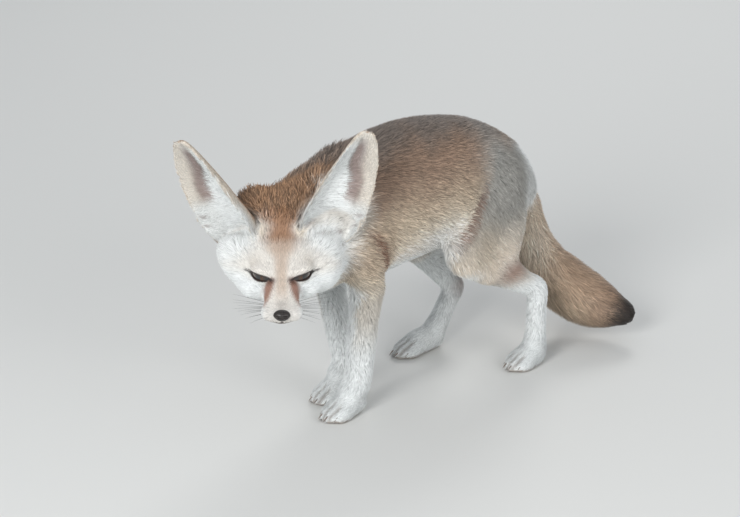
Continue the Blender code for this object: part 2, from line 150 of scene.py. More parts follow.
def eased(points, edges, near, rounds):
    """Points drawn to their neighbours over so many rounds, by their share of near."""
    return points + near[:, None] * (evened(points, edges, rounds) - points)


def ramp(value, low, high):
    """Rises smoothly from 0 at low to 1 at high, or falls where low is the larger."""
    step = np.clip((value - low) / (high - low), 0, 1)
    return step * step * (3 - 2 * step)


def spot(points, centre, radii):
    """1 at the centre of a soft-edged spot and near 0 past its radii."""
    away = (points - np.array(centre)) / np.array(radii)
    return np.exp(-np.sum(away * away, axis=-1) * 1.4)


def near_line(points, stops):
    """Distance to a line through the stops, and the share of its length passed."""
    stops = np.array(stops, dtype=float)
    lengths = lengths_of(np.diff(stops, axis=0))
    done = np.concatenate(((0,), np.cumsum(lengths)))
    best = np.full(len(points), 1e9)
    passed = np.zeros(len(points))
    way = np.zeros((len(points), 3))
    for k, (start, end) in enumerate(zip(stops, stops[1:])):
        along = end - start
        share = np.clip((points - start) @ along / (along @ along), 0, 1)
        away = lengths_of(points - (start + share[:, None] * along))
        closer = away < best
        best = np.where(closer, away, best)
        passed = np.where(closer, (done[k] + share * lengths[k]) / done[-1], passed)
        way = np.where(closer[:, None], along / lengths[k], way)
    return best, passed, way


def head_view(points):
    """Forward, left and up in centimetres from the middle of the head."""
    local = (points - np.array(HEAD_MIDDLE)) @ np.array(HEAD_AXES) / CM
    return np.stack((-local[:, 1], local[:, 0], local[:, 2]), axis=1)


def on_head(forward, left, up):
    return HEAD_MIDDLE + HEAD_AXES @ Vector((left, -forward, up)) * CM


def head_way(forward, left, up):
    return np.array(HEAD_AXES @ Vector((left, -forward, up)))


def from_spine(points):
    """Centimetres to the left, to the back and up, with the spine's line at the middle."""
    return points / CM + SPINE_MIDDLE


def search_tree(points, corners):
    return BVHTree.FromPolygons(
        [Vector(p) for p in points], [tuple(int(k) for k in c) for c in corners]
    )


cad_points = []
cad_corners = []
cad_part = []
flesh = bmesh.new()
for place, name in enumerate(NODE_NAMES):
    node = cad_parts[name].data
    flesh.from_mesh(node)
    corners = corners_of(node)
    cad_corners.append(corners + sum(len(block) for block in cad_points))
    cad_points.append(points_of(node))
    cad_part += [place] * len(corners)
bmesh.ops.remove_doubles(flesh, verts=flesh.verts, dist=1e-5)
flesh.normal_update()
for vert in flesh.verts:
    vert.co += vert.normal * 0.0004
source = object_from("flesh", mesh_from("flesh", flesh))
remesh = source.modifiers.new("voxels", "REMESH")
remesh.mode = "VOXEL"
remesh.voxel_size = SKIN_VOXEL
hide = settled(source, "hide")
outline = search_tree(np.concatenate(cad_points), np.concatenate(cad_corners))
points = points_of(hide)
corners = corners_of(hide)
edges = edges_of(hide)
for _ in range(12):
    points = evened(points, edges, 1, 0.6)
    points = evened(points, edges, 1, -0.57)


def parts_at(points):
    """The place in NODE_NAMES of the solid that is nearest to each point."""
    return np.array([cad_part[outline.find_nearest(Vector(p))[2]] for p in points])


# The ears' own directions, for the lie of their hair and the line of their markings.
EAR_BASES = {1: (-3.1, 3.33, 2.4), -1: (-3.1, -3.83, 2.35)}
EAR_TIPS = {1: (-2.3, 6.15, 10.0), -1: (-2.3, -7.05, 9.45)}
EAR_TURNS = {1: 14, -1: 38}
TAIL_LINE = (
    (0, 10.8, 14), (-0.4, 12.4, 11.9), (-0.75, 13.2, 9.2), (-0.35, 13.95, 6.8),
    (1.05, 15.3, 4.7), (2.65, 16.5, 3.4), (4.15, 17.45, 2.8), (5.3, 18.2, 2.5),
)


def ear_view(points, side):
    """Share of the ear's height, sideways place (outer edge 1, inner edge -1), and axes."""
    root = np.array(on_head(*EAR_BASES[side]))
    axis = np.array(on_head(*EAR_TIPS[side])) - root
    up = axis / np.linalg.norm(axis)
    turn = math.radians(EAR_TURNS[side])
    front = head_way(math.cos(turn), math.sin(turn) * side, 0)
    front = unit(front - up * (front @ up))
    outward = np.cross(up, front)
    if outward @ head_way(0, side, 0) < 0:
        outward = -outward
    height = (points - root) @ up / np.linalg.norm(axis)
    wide = np.interp(height, (0, 0.2, 0.5, 0.7, 0.9, 1), (2.4, 2.5, 2.2, 1.85, 1.1, 0.35))
    narrow = np.interp(height, (0, 0.2, 0.5, 0.7, 0.9, 1), (2, 1.85, 1.5, 1.15, 0.6, 0.2))
    across = (points - root - height[:, None] * axis) @ outward / CM
    across = np.where(across > 0, across / wide, across / narrow)
    return height, across, up, outward, front


part_at = parts_at(points)
normals = normals_of(points, corners)


def is_part(*starts):
    chosen = [k for k, name in enumerate(NODE_NAMES) if name.startswith(starts)]
    return np.isin(part_at, chosen)


# Depth of the coat over the hide, in millimetres, part by part.
spine = from_spine(points)
face = head_view(points)
tail_away, tail_passed, _ = near_line(spine, TAIL_LINE)
depth = np.full(len(points), 5.0)
depth[is_part("trunk")] = 5.5
depth[is_part("neck")] = 7.0
depth[is_part("thigh")] = 4.5
depth[is_part("shank")] = 2.0
depth[is_part("foreleg")] = 2.2 + 2.4 * ramp(spine[:, 2], 5, 10)[is_part("foreleg")]
depth[is_part("forepaw", "hindpaw")] = 0.9
depth[is_part("tail")] = (4.0 * tail_away)[is_part("tail")]
muzzle = ramp(face[:, 0], -0.6, 1.8)
ruff = ramp(np.abs(face[:, 1]), 1.6, 3.2) * ramp(face[:, 0], 0.4, -1.6)
head_depth = 2.3 - 1.5 * muzzle + 1.6 * ruff
depth[is_part("head", "eye_", "nose")] = head_depth[is_part("head", "eye_", "nose")]
depth[is_part("ear")] = 0.6
depth = np.maximum(evened(depth, edges, 10), 0.4)
for _ in range(4):
    points = points - normals_of(points, corners) * (depth / 4000)[:, None]
    points = evened(points, edges, 1, 0.6)
    points = evened(points, edges, 1, -0.5)
hide.vertices.foreach_set("co", points.astype(np.float32).ravel())

# The face is cut finer than the body, for its lids, lips and folds.
EYE_CENTRE = (-0.72, 0.59, 0.17)
EYE_RADIUS = 1.5
EYE_HALF = 1.05
LID_HEIGHTS = (0.22, 0.22)
LID_THICK = 0.045
fine = bmesh.new()
fine.from_mesh(hide)
bpy.data.meshes.remove(hide)


def close_faces(reach):
    centres = np.array([f.calc_center_median() for f in fine.faces])
    place = head_view(centres)
    chosen = place[:, 0] > reach[0]
    for eye in (1, -1):
        away = lengths_of(place - (0.4, 1.4 * eye, 0))
        chosen |= away < reach[1]
    chosen &= lengths_of(place) < 6
    fine.faces.ensure_lookup_table()
    return [fine.faces[int(k)] for k in np.nonzero(chosen)[0]]


for reach in ((0.2, 2.1), (2.0, 1.6)):
    cut = {edge for face_cut in close_faces(reach) for edge in face_cut.edges}
    bmesh.ops.subdivide_edges(fine, edges=list(cut), cuts=1, use_grid_fill=True)
bmesh.ops.triangulate(fine, faces=fine.faces)
skin_mesh = mesh_from("skin", fine)
points = points_of(skin_mesh)
corners = corners_of(skin_mesh)
edges = edges_of(skin_mesh)
points = eased(points, edges, ramp(head_view(points)[:, 0], -1.5, 0.2), 3)
normals = normals_of(points, corners)


def eye_axes(side):
    """The eye looks forward and outward, and its opening slants down to the nose."""
    turn = Matrix.Rotation(math.radians(47 * side), 3, "Z")
    slant = Matrix.Rotation(math.radians(2 * side), 3, "Y")
    return HEAD_AXES @ turn @ slant


def eye_middle(side):
    forward, left, up = EYE_CENTRE
    return on_head(forward, left * side, up)


def eye_view(points, side):
    """Centimetres outward, back and up from the eye's middle, along its own axes."""
    local = (points - np.array(eye_middle(side))) @ np.array(eye_axes(side)) / CM
    local[:, 0] *= side
    return local


def almond(x, z, grown=0.0):
    """Below 1 inside the opening between the lids, seen along the eye's own axis."""
    half = np.where(z > 0, *LID_HEIGHTS) + grown
    narrowing = np.maximum(1 - (x / (EYE_HALF + grown)) ** 2, 0.0)
    return np.abs(z) / np.maximum(half * narrowing ** 0.75, 1e-4)


# The forehead runs down to the brows in one smooth slope.
face = head_view(points)
brow_slope = spot(face * (1, 0, 1), (-0.35, 0, 1.35), (1.3, 1, 0.75)) * ramp(np.abs(face[:, 1]), 2.9, 2.1)
points = eased(points, edges, ramp(brow_slope, 0.1, 0.6), 40)
normals = normals_of(points, corners)

face = head_view(points)
for side in (1, -1):
    local = eye_view(points, side)
    axes = np.array(eye_axes(side))
    away = lengths_of(local)
    front = ramp(local[:, 1], 0.1, -0.25)
    # Over the ball the lids drape; between them the hide falls behind it.
    reach = np.sqrt((local[:, 0] / 1.5) ** 2 + (local[:, 2] / 0.65) ** 2)
    drape = front * ramp(reach, 1.15, 0.8)
    lid_near = ramp(np.hypot(local[:, 0] / 1.35, local[:, 2] / 0.55), 1.0, 0.7)
    lifted = np.maximum(away, EYE_RADIUS + LID_THICK)
    lifted += lid_near * (EYE_RADIUS + LID_THICK - lifted) * (away < EYE_RADIUS + 0.8)
    grown = away + drape * (lifted - away)
    open_part = (almond(local[:, 0], local[:, 2], 0.02) < 1) & (local[:, 1] < 0)
    grown = np.where(open_part & (away < EYE_RADIUS + 0.6), EYE_RADIUS - 0.1, grown)
    points += (local * np.array((side, 1, 1)) / away[:, None]) @ axes.T * (
        (grown - away)[:, None] * CM
    )
    # A brow fold above the eye, a crease under it, and the hollow at its inner corner.
    brow = spot(local, (-0.1, -1.45, 0.46), (1.2, 0.6, 0.24))
    crease = spot(local, (0.1, -1.4, -0.6), (0.8, 0.6, 0.12))
    corner = spot(local, (-1.3, -1.05, -0.04), (0.3, 0.5, 0.16))
    points += normals * ((0.13 * brow - 0.05 * crease - 0.06 * corner) * CM)[:, None]

# The haunch and the thigh are one full muscle under the coat.
spine = from_spine(points)
haunch_near = spot(np.abs(spine - (0, 6.6, 13.6)), (3.6, 0, 0), (3.2, 4.4, 4.2))
haunch_near = ramp(haunch_near, 0.15, 0.6) * ramp(spine[:, 1], 10.4, 9.2)
points = eased(points, edges, haunch_near, 50)
normals = normals_of(points, corners)

# The lips meet in a groove along the muzzle, and a furrow runs from the nose to the lip.
lip = -1.93 + 0.045 * (3.2 - face[:, 0]) - 0.07 * np.maximum(0.6 - face[:, 0], 0)
mouth = np.exp(-(((face[:, 2] - lip) / 0.07) ** 2)) * ramp(face[:, 0], -0.6, 0.2)
mouth *= ramp(face[:, 0], 4.2, 3.6) * ramp(np.abs(face[:, 1]), 2.2, 1.5)
furrow = np.exp(-((face[:, 1] / 0.05) ** 2)) * ramp(face[:, 0], 2.8, 3.1)
furrow *= ramp(face[:, 2], -1.4, -1.6)
bridge = np.exp(-((np.abs(face[:, 1]) - 0.75) / 0.3) ** 2) * spot(face, (1.9, 0, -0.5), (1, 2, 0.6))
points -= normals * ((0.075 * mouth + 0.04 * furrow + 0.03 * bridge) * CM)[:, None]

# The roots of the ears run smoothly into the cheeks and the crown.
root_near = spot(np.abs(face), (2.6, 3.2, 1.6), (1.6, 1.5, 1.4)) * (face[:, 0] < 0) * (face[:, 2] > 0)
points = eased(points, edges, ramp(root_near, 0.1, 0.6), 26)

# Grooves part the toes.
PAWS = {
    "forepaw_left": ((1.7, -7.3), 2.1, 0.86),
    "forepaw_right": ((-1.2, -5.9), 2.1, 0.86),
    "hindpaw_left": ((3.8, 9.5), 2.1, 0.8),
    "hindpaw_right": ((-3.75, 4.7), 2.5, 0.8),
}
TOES = ((-1.0, 0.72), (-0.36, 1.0), (0.36, 1.0), (1.0, 0.72))
part_at = parts_at(points)
spine = from_spine(points)
toe_gap = np.zeros(len(points))
for name, ((bx, by), reach, spread) in PAWS.items():
    paw = is_part(name)
    for gap in (-0.68, 0.0, 0.68):
        off = (spine[:, 0] - bx - gap * spread) / 0.1
        groove = np.exp(-off * off) * ramp(spine[:, 1], by - 0.7, by - 1.2) * paw
        toe_gap = np.maximum(toe_gap, groove * ramp(spine[:, 2], 0.1, 0.4))
points -= normals * (0.11 * toe_gap * CM)[:, None]
flat_side = spine * (0, 1, 1)
FOLD = ((0, 4.3, 17.4), (0, 3.7, 15.6), (0, 2.6, 13.8), (0, 1.6, 12.5), (0, 0.4, 11.3))
ELBOW_LINE = ((0, -7.6, 16.2), (0, -6.8, 14.7), (0, -6.2, 13.4), (0, -5.6, 12.2), (0, -5.2, 11))
flank_fold, flank_passed, _ = near_line(flat_side, FOLD)
elbow_fold, _, _ = near_line(flat_side, ELBOW_LINE)
crease_deep = 0.2 * np.exp(-((flank_fold / 0.5) ** 2)) * ramp(flank_passed, 1, 0.7)
crease_deep += 0.2 * np.exp(-((elbow_fold / 0.5) ** 2))
crease_deep *= ramp(np.abs(spine[:, 0]), 1.8, 2.8)
lip_full = spot(np.abs(face), (2.6, 1.1, 1.5), (0.7, 0.5, 0.5)) * (face[:, 0] > 0)
# Behind the nose pad the hide lies deeper than the nostrils.
under_nose = ramp(lengths_of((face - (3.55, 0, -1.32)) / (0.5, 0.6, 0.44)), 1.1, 0.8)
points += normals * ((0.1 * lip_full - crease_deep - 0.34 * under_nose) * CM)[:, None]
points[:, 2] = np.maximum(points[:, 2], 0.0002)
skin_mesh.vertices.foreach_set("co", points.astype(np.float32).ravel())
normals = normals_of(points, corners)
face = head_view(points)
spine = from_spine(points)

# Markings
# The coat of a desert fox: sandy brown above, white below, a rusty nape, stripe and tear
# streaks, a dark tail tip. Each point of the hide gets its colour here once, and every
# tuft takes the colour of its root.


def linear(code):
    """An sRGB hex colour as linear red, green and blue."""
    parts = np.array([int(code[k : k + 2], 16) for k in (0, 2, 4)]) / 255
    return np.where(parts <= 0.04045, parts / 12.92, ((parts + 0.055) / 1.055) ** 2.4)


WHITE = "eef1f0"
CREAM = "e2d6c6"
TAN = "baab96"
SANDY = "a4917c"
BROWN = "8e7562"
GREY_BROWN = "68605a"
GREY_CREAM = "979691"
RUST = "875a46"
DARK_RUST = "633c27"
ORANGE = "aa7c57"
PINK = "98837c"
DARK = "2c2320"


def plain(colour):
    return np.tile(linear(colour), (len(points), 1))


def lay(look, colour, share):
    """Lays a colour over a look, by its share at each point."""
    look += np.clip(share, 0, 1)[:, None] * (linear(colour) - look)


x, y, z = spine.T
side_out = np.abs(x)
top_line = np.interp(y, (-10, -8, -5, 0, 5, 8, 11), (16.4, 19.2, 20.6, 21, 20.4, 18.8, 15))
low_line = np.interp(y, (-10, -6, 0, 3, 6, 9), (10.6, 9.8, 10.4, 11, 11.8, 12))
rise = (z - low_line) / (top_line - low_line)
wave = 0.02 * np.sin(y * 1.3 + x) + 0.012 * np.sin(y * 3.1 - z * 1.7)
rise = rise + wave

trunk_look = plain(WHITE)
for colour, share, low, high in (
    (CREAM, 1, 0.1, 0.26), (TAN, 1, 0.2, 0.48), (SANDY, 1, 0.42, 0.68),
    (BROWN, 0.95, 0.56, 0.84), ("6d6660", 0.8, 0.84, 0.98),
):
    lay(trunk_look, colour, share * ramp(rise, low, high))
sided = np.stack((side_out, y, z), 1)
# The haunch is grey-cream, partly the coat's own grey and partly a painted highlight on its upper side.
haunch_grey_and_highlight = spot(sided, (3.6, 5.6, 18.0), (3.4, 2.2, 2.9))
lay(trunk_look, GREY_CREAM, 1.1 * haunch_grey_and_highlight)
# Painted highlight: the rear of the rump is turned pale grey-cream where light falls on it.
lay(trunk_look, GREY_CREAM, 0.8 * ramp(y, 6.5, 9.0) * ramp(z, 18.5, 16.5))
# The back's colour runs on over the middle of the rump to the tail.
over_rump = ramp(side_out, 2.8, 0.6) * ramp(y, 5.8, 8.0) * ramp(normals[:, 2], -0.5, 0.2)
lay(trunk_look, "94826f", 0.6 * over_rump)
groin = spot(sided, (3.6, -0.3, 12.5), (2.6, 2.6, 2.3))
lay(trunk_look, "dadad6", groin)
# Painted shade: a dark brown line along the crease where the thigh meets the flank.
fold_away, fold_passed, _ = near_line(spine * (0, 1, 1), FOLD)
fold_shade = np.exp(-((fold_away / 0.3) ** 2)) * ramp(fold_passed, 0.0, 0.25) * ramp(fold_passed, 0.9, 0.65)
fold_shade *= ramp(side_out, 1.8, 2.8)
lay(trunk_look, "6d4a38", 0.85 * fold_shade)
outside = ramp(normals[:, 0] * np.sign(x), -0.1, 0.5)
shoulder = ramp(y, -4.2, -5.8) * outside * ramp(rise, 0.75, 0.5)
lay(trunk_look, TAN, 0.85 * shoulder)
lay(trunk_look, SANDY, 0.7 * shoulder * ramp(z, 11.5, 13.5))
# Painted shade: a dark rust line along the crease where the foreleg meets the body.
armpit_away, armpit_passed, _ = near_line(spine * (0, 1, 1), ELBOW_LINE)
armpit_shade = np.exp(-((armpit_away / 0.34) ** 2)) * ramp(armpit_passed, 0.0, 0.3)
armpit_shade *= ramp(side_out, 1.8, 2.8)
lay(trunk_look, DARK_RUST, 0.95 * armpit_shade)

neck_look = plain(WHITE)
for colour, share, low, high in (
    (CREAM, 1, 11.5, 12.8), (TAN, 1, 12.2, 13.8), (SANDY, 1, 13.4, 15.4),
    (BROWN, 0.8, 14.6, 16.8), (GREY_BROWN, 0.7, 17.4, 18.8),
):
    lay(neck_look, colour, share * ramp(z, low, high))
lay(neck_look, "8d694d", 0.8 * ramp(y, -9.6, -11.2) * ramp(z, 14.6, 16.0))
# The same painted shade in the crease behind the foreleg.
lay(neck_look, DARK_RUST, 0.75 * armpit_shade)

thigh_look = plain(CREAM)
lay(thigh_look, GREY_CREAM, 0.95 * ramp(z, 10.2, 14.4))
lay(thigh_look, TAN, 0.6 * spot(sided, (4.2, 3.8, 11.8), (2.5, 2.2, 2.4)))
lay(thigh_look, WHITE, 0.9 * ramp(side_out, 2.6, 1.2))
lay(thigh_look, WHITE, 0.5 * ramp(y, 8.0, 9.6))
# The same painted shade in the crease in front of the thigh.
lay(thigh_look, "6d4a38", 0.85 * fold_shade)
lay(thigh_look, WHITE, 0.85 * ramp(z, 10.8, 9.6) * ramp(y, 4.5, 2.0))
hock = spot(sided, (4.0, 6.6, 9.0), (2.2, 1.9, 1.1)) * ramp(x, -1, 1)
lay(thigh_look, RUST, 0.8 * hock)

shank_look = plain(WHITE)
lay(shank_look, TAN, 0.65 * outside * ramp(z, 7.0, 8.6) * ramp(y, 2.0, 4.5))
lay(shank_look, RUST, 0.8 * hock)
far_hock = spot(spine, (-3.0, 8.4, 5.4), (1.0, 1.2, 1.4))
lay(shank_look, PINK, 0.6 * far_hock)

foreleg_look = plain(WHITE)
lay(foreleg_look, TAN, 0.62 * outside * ramp(z, 4.5, 9.5))
lay(foreleg_look, SANDY, 0.2 * outside * ramp(z, 9.5, 12.0))
# The same painted shade in the crease behind the foreleg.
lay(foreleg_look, DARK_RUST, 0.6 * armpit_shade)

paw_look = plain(WHITE)
# Painted shade: the grooves between the toes are darkened grey-brown.
lay(paw_look, "8d8178", 0.75 * toe_gap)
lay(paw_look, "b7aba0", ramp(z, 0.35, 0.1))

tail_away, tail_passed, tail_way = near_line(spine, TAIL_LINE)
tail_look = plain("b69c83")
lay(tail_look, TAN, 0.6 * ramp(normals[:, 2], 0.6, -0.4))
lay(tail_look, BROWN, 0.35 * ramp(normals[:, 2], 0.1, 0.8))
lay(tail_look, CREAM, 0.85 * spot(spine, (1.0, 12.3, 9.8), (1.6, 1.6, 2.8)))
lay(tail_look, BROWN, 0.7 * ramp(tail_passed, 0.66, 0.82))
lay(tail_look, "211b18", 0.97 * ramp(tail_passed, 0.79, 0.9))

forward, left, up = face.T
aside = np.abs(left)
head_look = plain("ece7df")
lay(head_look, WHITE, ramp(up, 0.3, -0.6) * ramp(aside, 0.8, 1.4))
stripe_half = np.interp(
    forward, (-4.5, -2.9, -1.9, -0.9, 0, 1.2, 2.6), (1.5, 0.8, 1.15, 0.8, 0.45, 0.35, 0.4)
)
stripe = ramp(aside, stripe_half * 1.7, stripe_half * 0.35) * ramp(up, -1.2, -0.4)
lay(head_look, ORANGE, 0.95 * stripe * ramp(forward, 0.2, -2.2))
lay(head_look, "c3a78e", 0.6 * stripe * ramp(forward, -1.8, -0.6) * ramp(forward, 3.2, 1.6))
crown = ramp(forward, -2.6, -4.0) * ramp(aside, 2.2, 1.4) * ramp(up, 0.4, 1.2)
lay(head_look, "936b49", 0.85 * crown)
behind_ears = ramp(forward + 1.3 * ramp(aside, 1.8, 3.0), -3.9, -5.0)
lay(head_look, SANDY, 0.8 * behind_ears * ramp(up, -2.0, 0.5))
lay(head_look, "9a7555", 0.85 * behind_ears * ramp(up, 0.6, 2.0))
mirrored = np.stack((forward, aside, up), 1)
lay(head_look, "ead3b2", 0.9 * spot(mirrored, (-2.6, 1.4, 2.3), (0.6, 0.42, 0.8)))
lay(head_look, TAN, 0.35 * spot(mirrored, (-0.3, 2.3, 0.9), (0.7, 0.9, 0.3)))
ear_root = np.clip(1.8 * spot(mirrored, (-2.7, 3.5, 1.4), (1.7, 2.0, 1.9)), 0, 1)
lay(head_look, WHITE, 0.9 * ear_root)
# The face's markings are placed as seen from the front, 25 degrees above it.
SEEN_COS, SEEN_SIN = 0.904, 0.427
slope = SEEN_COS * up - SEEN_SIN * forward
facing = np.stack((slope, aside, 0 * up), 1)
# Painted shade: small dark spots where the skin pockets at the ear's base lie in shadow, and grey painted
# shade along the fold beside them.
pocket_shade = spot(facing, (2.97, 3.75, 0), (0.2, 0.2, 1)) * ramp(forward, -1.5, -2.5)
lay(head_look, "6e5148", 0.8 * pocket_shade)
pocket_fold_shade = spot(facing, (2.7, 2.85, 0), (0.13, 0.5, 1)) * ramp(forward, -1.5, -2.5)
lay(head_look, "8e857e", 0.6 * pocket_fold_shade)
STREAK = ((-0.38, 0.74, 0), (-0.92, 0.87, 0), (-1.63, 1.08, 0), (-1.95, 1.18, 0))
streak_away, streak_down, _ = near_line(facing, STREAK)
streak_half = np.interp(streak_down, (0, 0.3, 0.7, 1), (0.3, 0.34, 0.28, 0.16))
streak = ramp(streak_away, streak_half + 0.16, streak_half - 0.24) * ramp(forward, 0.2, 0.8)
# The streaks fade where the muzzle turns away from the front.
streak *= ramp(normals @ head_way(SEEN_COS, 0, SEEN_SIN), 0.05, 0.4)
lay(head_look, "94624b", 0.88 * streak)
streak_top = np.exp(-(((slope + 0.48) / 0.2) ** 2)) * streak
lay(head_look, DARK_RUST, 0.7 * streak_top)
pad = spot(mirrored, (2.9, 0.75, -1.5), (0.8, 0.6, 0.6))
lay(head_look, "d6d3cf", 0.9 * pad)
lay(head_look, "a59d96", 0.55 * spot(mirrored, (3.0, 0.0, -0.85), (0.6, 0.5, 0.3)))
lay(head_look, "40302a", 0.85 * mouth + 0.7 * furrow)
for side in (1, -1):
    local = eye_view(points, side)
    rim = ramp(almond(local[:, 0], local[:, 2], 0.1), 1.25, 0.95) * (local[:, 1] < 0)
    inner = spot(local, (-1.22, -1.1, -0.03), (0.36, 0.9, 0.12))
    outer = spot(local, (1.15, -1.0, -0.04), (0.22, 0.9, 0.08))
    marks = np.maximum(rim, 1.3 * np.maximum(inner, outer))
    near = lengths_of(local) < EYE_RADIUS + 0.7
    lay(head_look, DARK, 0.92 * marks * near)

ear_look = plain(CREAM)
ear_inside = np.zeros(len(points))
ear_side = np.where(left > 0, 1, -1)
ear_up = np.zeros((len(points), 3))
ear_out = np.zeros((len(points), 3))
ear_high = np.zeros(len(points))
ear_across = np.zeros(len(points))
for side in (1, -1):
    high, across, ear_axis, outward, front = ear_view(points, side)
    mine = ear_side == side
    inside = ramp(normals @ front, -0.1, 0.35) * ramp(np.abs(across), 1.05, 0.92)
    look = plain("b8936f")
    lay(look, CREAM, ramp(np.abs(across), 0.62, 0.86))
    lay(look, "e8e1d6", inside)
    low_front = ramp(high, 0.34, 0.12) * ramp(normals @ front, -0.7, -0.1)
    lay(look, WHITE, 0.9 * np.maximum(low_front, inside * ramp(high, 0.35, 0.15)))
    hair = inside * ramp(across, 0.5, 0.1) * ramp(high, 1.0, 0.75)
    lay(look, WHITE, hair)
    # The hollow of the ear is greyish pink: partly its bare inner skin, partly painted shade where the
    # hollow lies in shadow.
    middle = 0.5 - 0.5 * high
    hollow_skin_and_shade = ramp(across, middle - 0.34, middle - 0.24) * ramp(across, middle + 0.5, middle)
    hollow_skin_and_shade = hollow_skin_and_shade * ramp(high, 0.18, 0.32) * ramp(high, 0.96, 0.8)
    lay(look, PINK, 0.9 * inside * hollow_skin_and_shade)
    # Painted shadow: a dark grey line along the hollow's inner edge, under the white hair of the inner
    # rim.
    line = np.exp(-(((across - middle + 0.3) / 0.09) ** 2)) * ramp(high, 0.3, 0.5) * ramp(high, 1.0, 0.9)
    lay(look, "7d7874", 0.6 * inside * line)
    # Painted shade: small dark spots at the skin pockets by the ear's edge.
    pocket_shade = spot(facing, (4.4, 5.5, 0), (0.14, 0.4, 1)) + spot(facing, (3.7, 5.2, 0), (0.12, 0.3, 1))
    lay(look, "8a7670", 0.7 * inside * pocket_shade)
    ear_look[mine] = look[mine]
    ear_inside[mine] = inside[mine]
    ear_high[mine] = high[mine]
    ear_across[mine] = across[mine]
    ear_up[mine] = ear_axis
    ear_out[mine] = outward

GROUPS = (
    ("trunk",), ("neck",), ("thigh",), ("shank",), ("foreleg",),
    ("forepaw", "hindpaw"), ("tail",), ("head", "eye_", "nose"), ("ear",),
)
shares = np.stack([is_part(*starts) for starts in GROUPS], axis=1).astype(float)
looks = (
    trunk_look, neck_look, thigh_look, shank_look, foreleg_look,
    paw_look, tail_look, head_look, ear_look,
)
softer = evened(shares, edges, 26)
sharper = evened(shares, edges, 5)
on_face = ramp(forward, -2.5, -1.0)[:, None] * shares[:, 7:8]
blend = np.where(shares[:, 7:8] + shares[:, 8:9] > 0, sharper, softer)
blend = blend + on_face * (shares - blend)
blend /= blend.sum(axis=1, keepdims=True)
colours = sum(blend[:, k : k + 1] * look for k, look in enumerate(looks))

# Lie of the coat: the way each tuft points, its length and width in millimetres.
back_down = np.stack((0.12 * np.sign(x), np.ones(len(x)), -0.5 * ramp(rise, 1.05, 0.7)), 1)
trunk_way = unit(back_down)
neck_way = np.tile(unit(np.array((-0.25, 0.9, -0.1))), (len(x), 1))
neck_way[:, 2] -= 0.8 * ramp(z, 15.5, 13.0)
thigh_way = unit(np.stack((np.zeros(len(x)), 0.55 * np.ones(len(x)), -np.ones(len(x))), 1))
along_shank = ramp(z, 5.8, 7.4)[:, None]
shank_way = unit(along_shank * (0, 0.88, -0.46) + (1 - along_shank) * np.array((0, -0.05, -1)))
foreleg_way = np.tile((0.0, 0.12, -1.0), (len(x), 1))
paw_way = np.tile(unit(np.array((0, -1.0, -0.25))), (len(x), 1))
nose_tip = np.array(on_head(3.5, 0, -1.1))
head_way_field = unit(points - nose_tip)
head_way_field += 0.35 * ramp(aside, 1.2, 2.6)[:, None] * head_way(-0.6, 0, -0.5)
sweep = (ear_inside * ramp(ear_high, 0.66, 0.42))[:, None]
ear_way = unit(sweep * (ear_out + 0.25 * ear_up) + (1 - sweep) * ear_up)
ways = (
    trunk_way, neck_way, thigh_way, shank_way, foreleg_way,
    paw_way, tail_way, head_way_field, ear_way,
)
soft_blend = softer / softer.sum(axis=1, keepdims=True)
soft_blend[shares[:, 8] > 0] = blend[shares[:, 8] > 0]
way = sum(soft_blend[:, k : k + 1] * field for k, field in enumerate(ways))
way -= normals * np.sum(way * normals, axis=1, keepdims=True)
way = unit(evened(way, edges, 4))

ruff = ramp(aside, 1.6, 3.2) * ramp(forward, 0.4, -1.6)
lip_pad = spot(mirrored, (2.6, 1.0, -1.5), (0.7, 0.5, 0.5))
swept = ear_inside * ramp(ear_high, 0.62, 0.4) * ramp(ear_across, 0.7, 0.1)
long_field = np.stack(
    (
        np.full(len(x), 13.0),
        15.0 + 5 * ramp(z, 15.0, 17.0),
        np.full(len(x), 10.0),
        5.0 + 2 * ramp(z, 5.0, 8.0),
        5.5 + 4 * ramp(z, 4.0, 10.0),
        np.full(len(x), 3.6),
        15 + 9 * ramp(tail_passed, 0.0, 0.4) * ramp(tail_passed, 1.1, 0.75),
        4.6 - 2.3 * ramp(forward, -0.4, 1.8) + 4.5 * ruff + 1.2 * lip_pad,
        3.6 + 6.5 * swept,
    ),
    axis=1,
)
high_field = np.stack(
    (
        np.full(len(x), 5.4),
        7.0 + 3.5 * ramp(z, 15.5, 17.0),
        np.full(len(x), 4.3),
        np.full(len(x), 1.9),
        2.0 + 2.3 * ramp(z, 5, 10),
        np.full(len(x), 0.9),
        6.6 * tail_away + 0.5,
        2.1 - 1.4 * ramp(forward, -0.6, 1.8) + 1.8 * ruff + 1.2 * lip_pad,
        0.6 + 1.7 * swept,
    ),
    axis=1,
)
wide_field = np.array((0.9, 1.0, 0.8, 0.62, 0.66, 0.5, 1.2, 0.58, 0.5))
hair_long = np.sum(blend * long_field, axis=1)
hair_high = np.sum(blend * high_field, axis=1)
nape_top = ramp(forward, -2.2, -3.4) * ramp(forward, -7.5, -6.0) * ramp(up, 0.6, 1.4)
nape_top *= ramp(aside, 2.6 + ramp(forward, -4.2, -5.4), 1.5 + ramp(forward, -4.2, -5.4))
hair_high += 6.5 * nape_top * (blend[:, 7] + blend[:, 1])
hair_long = hair_long + 3.0 * nape_top * (blend[:, 7] + blend[:, 1])
hair_wide = blend @ wide_field
muzzle_near = blend[:, 7] * ramp(forward, -0.8, 1.2)
hair_wide = hair_wide * (1 - 0.28 * muzzle_near)
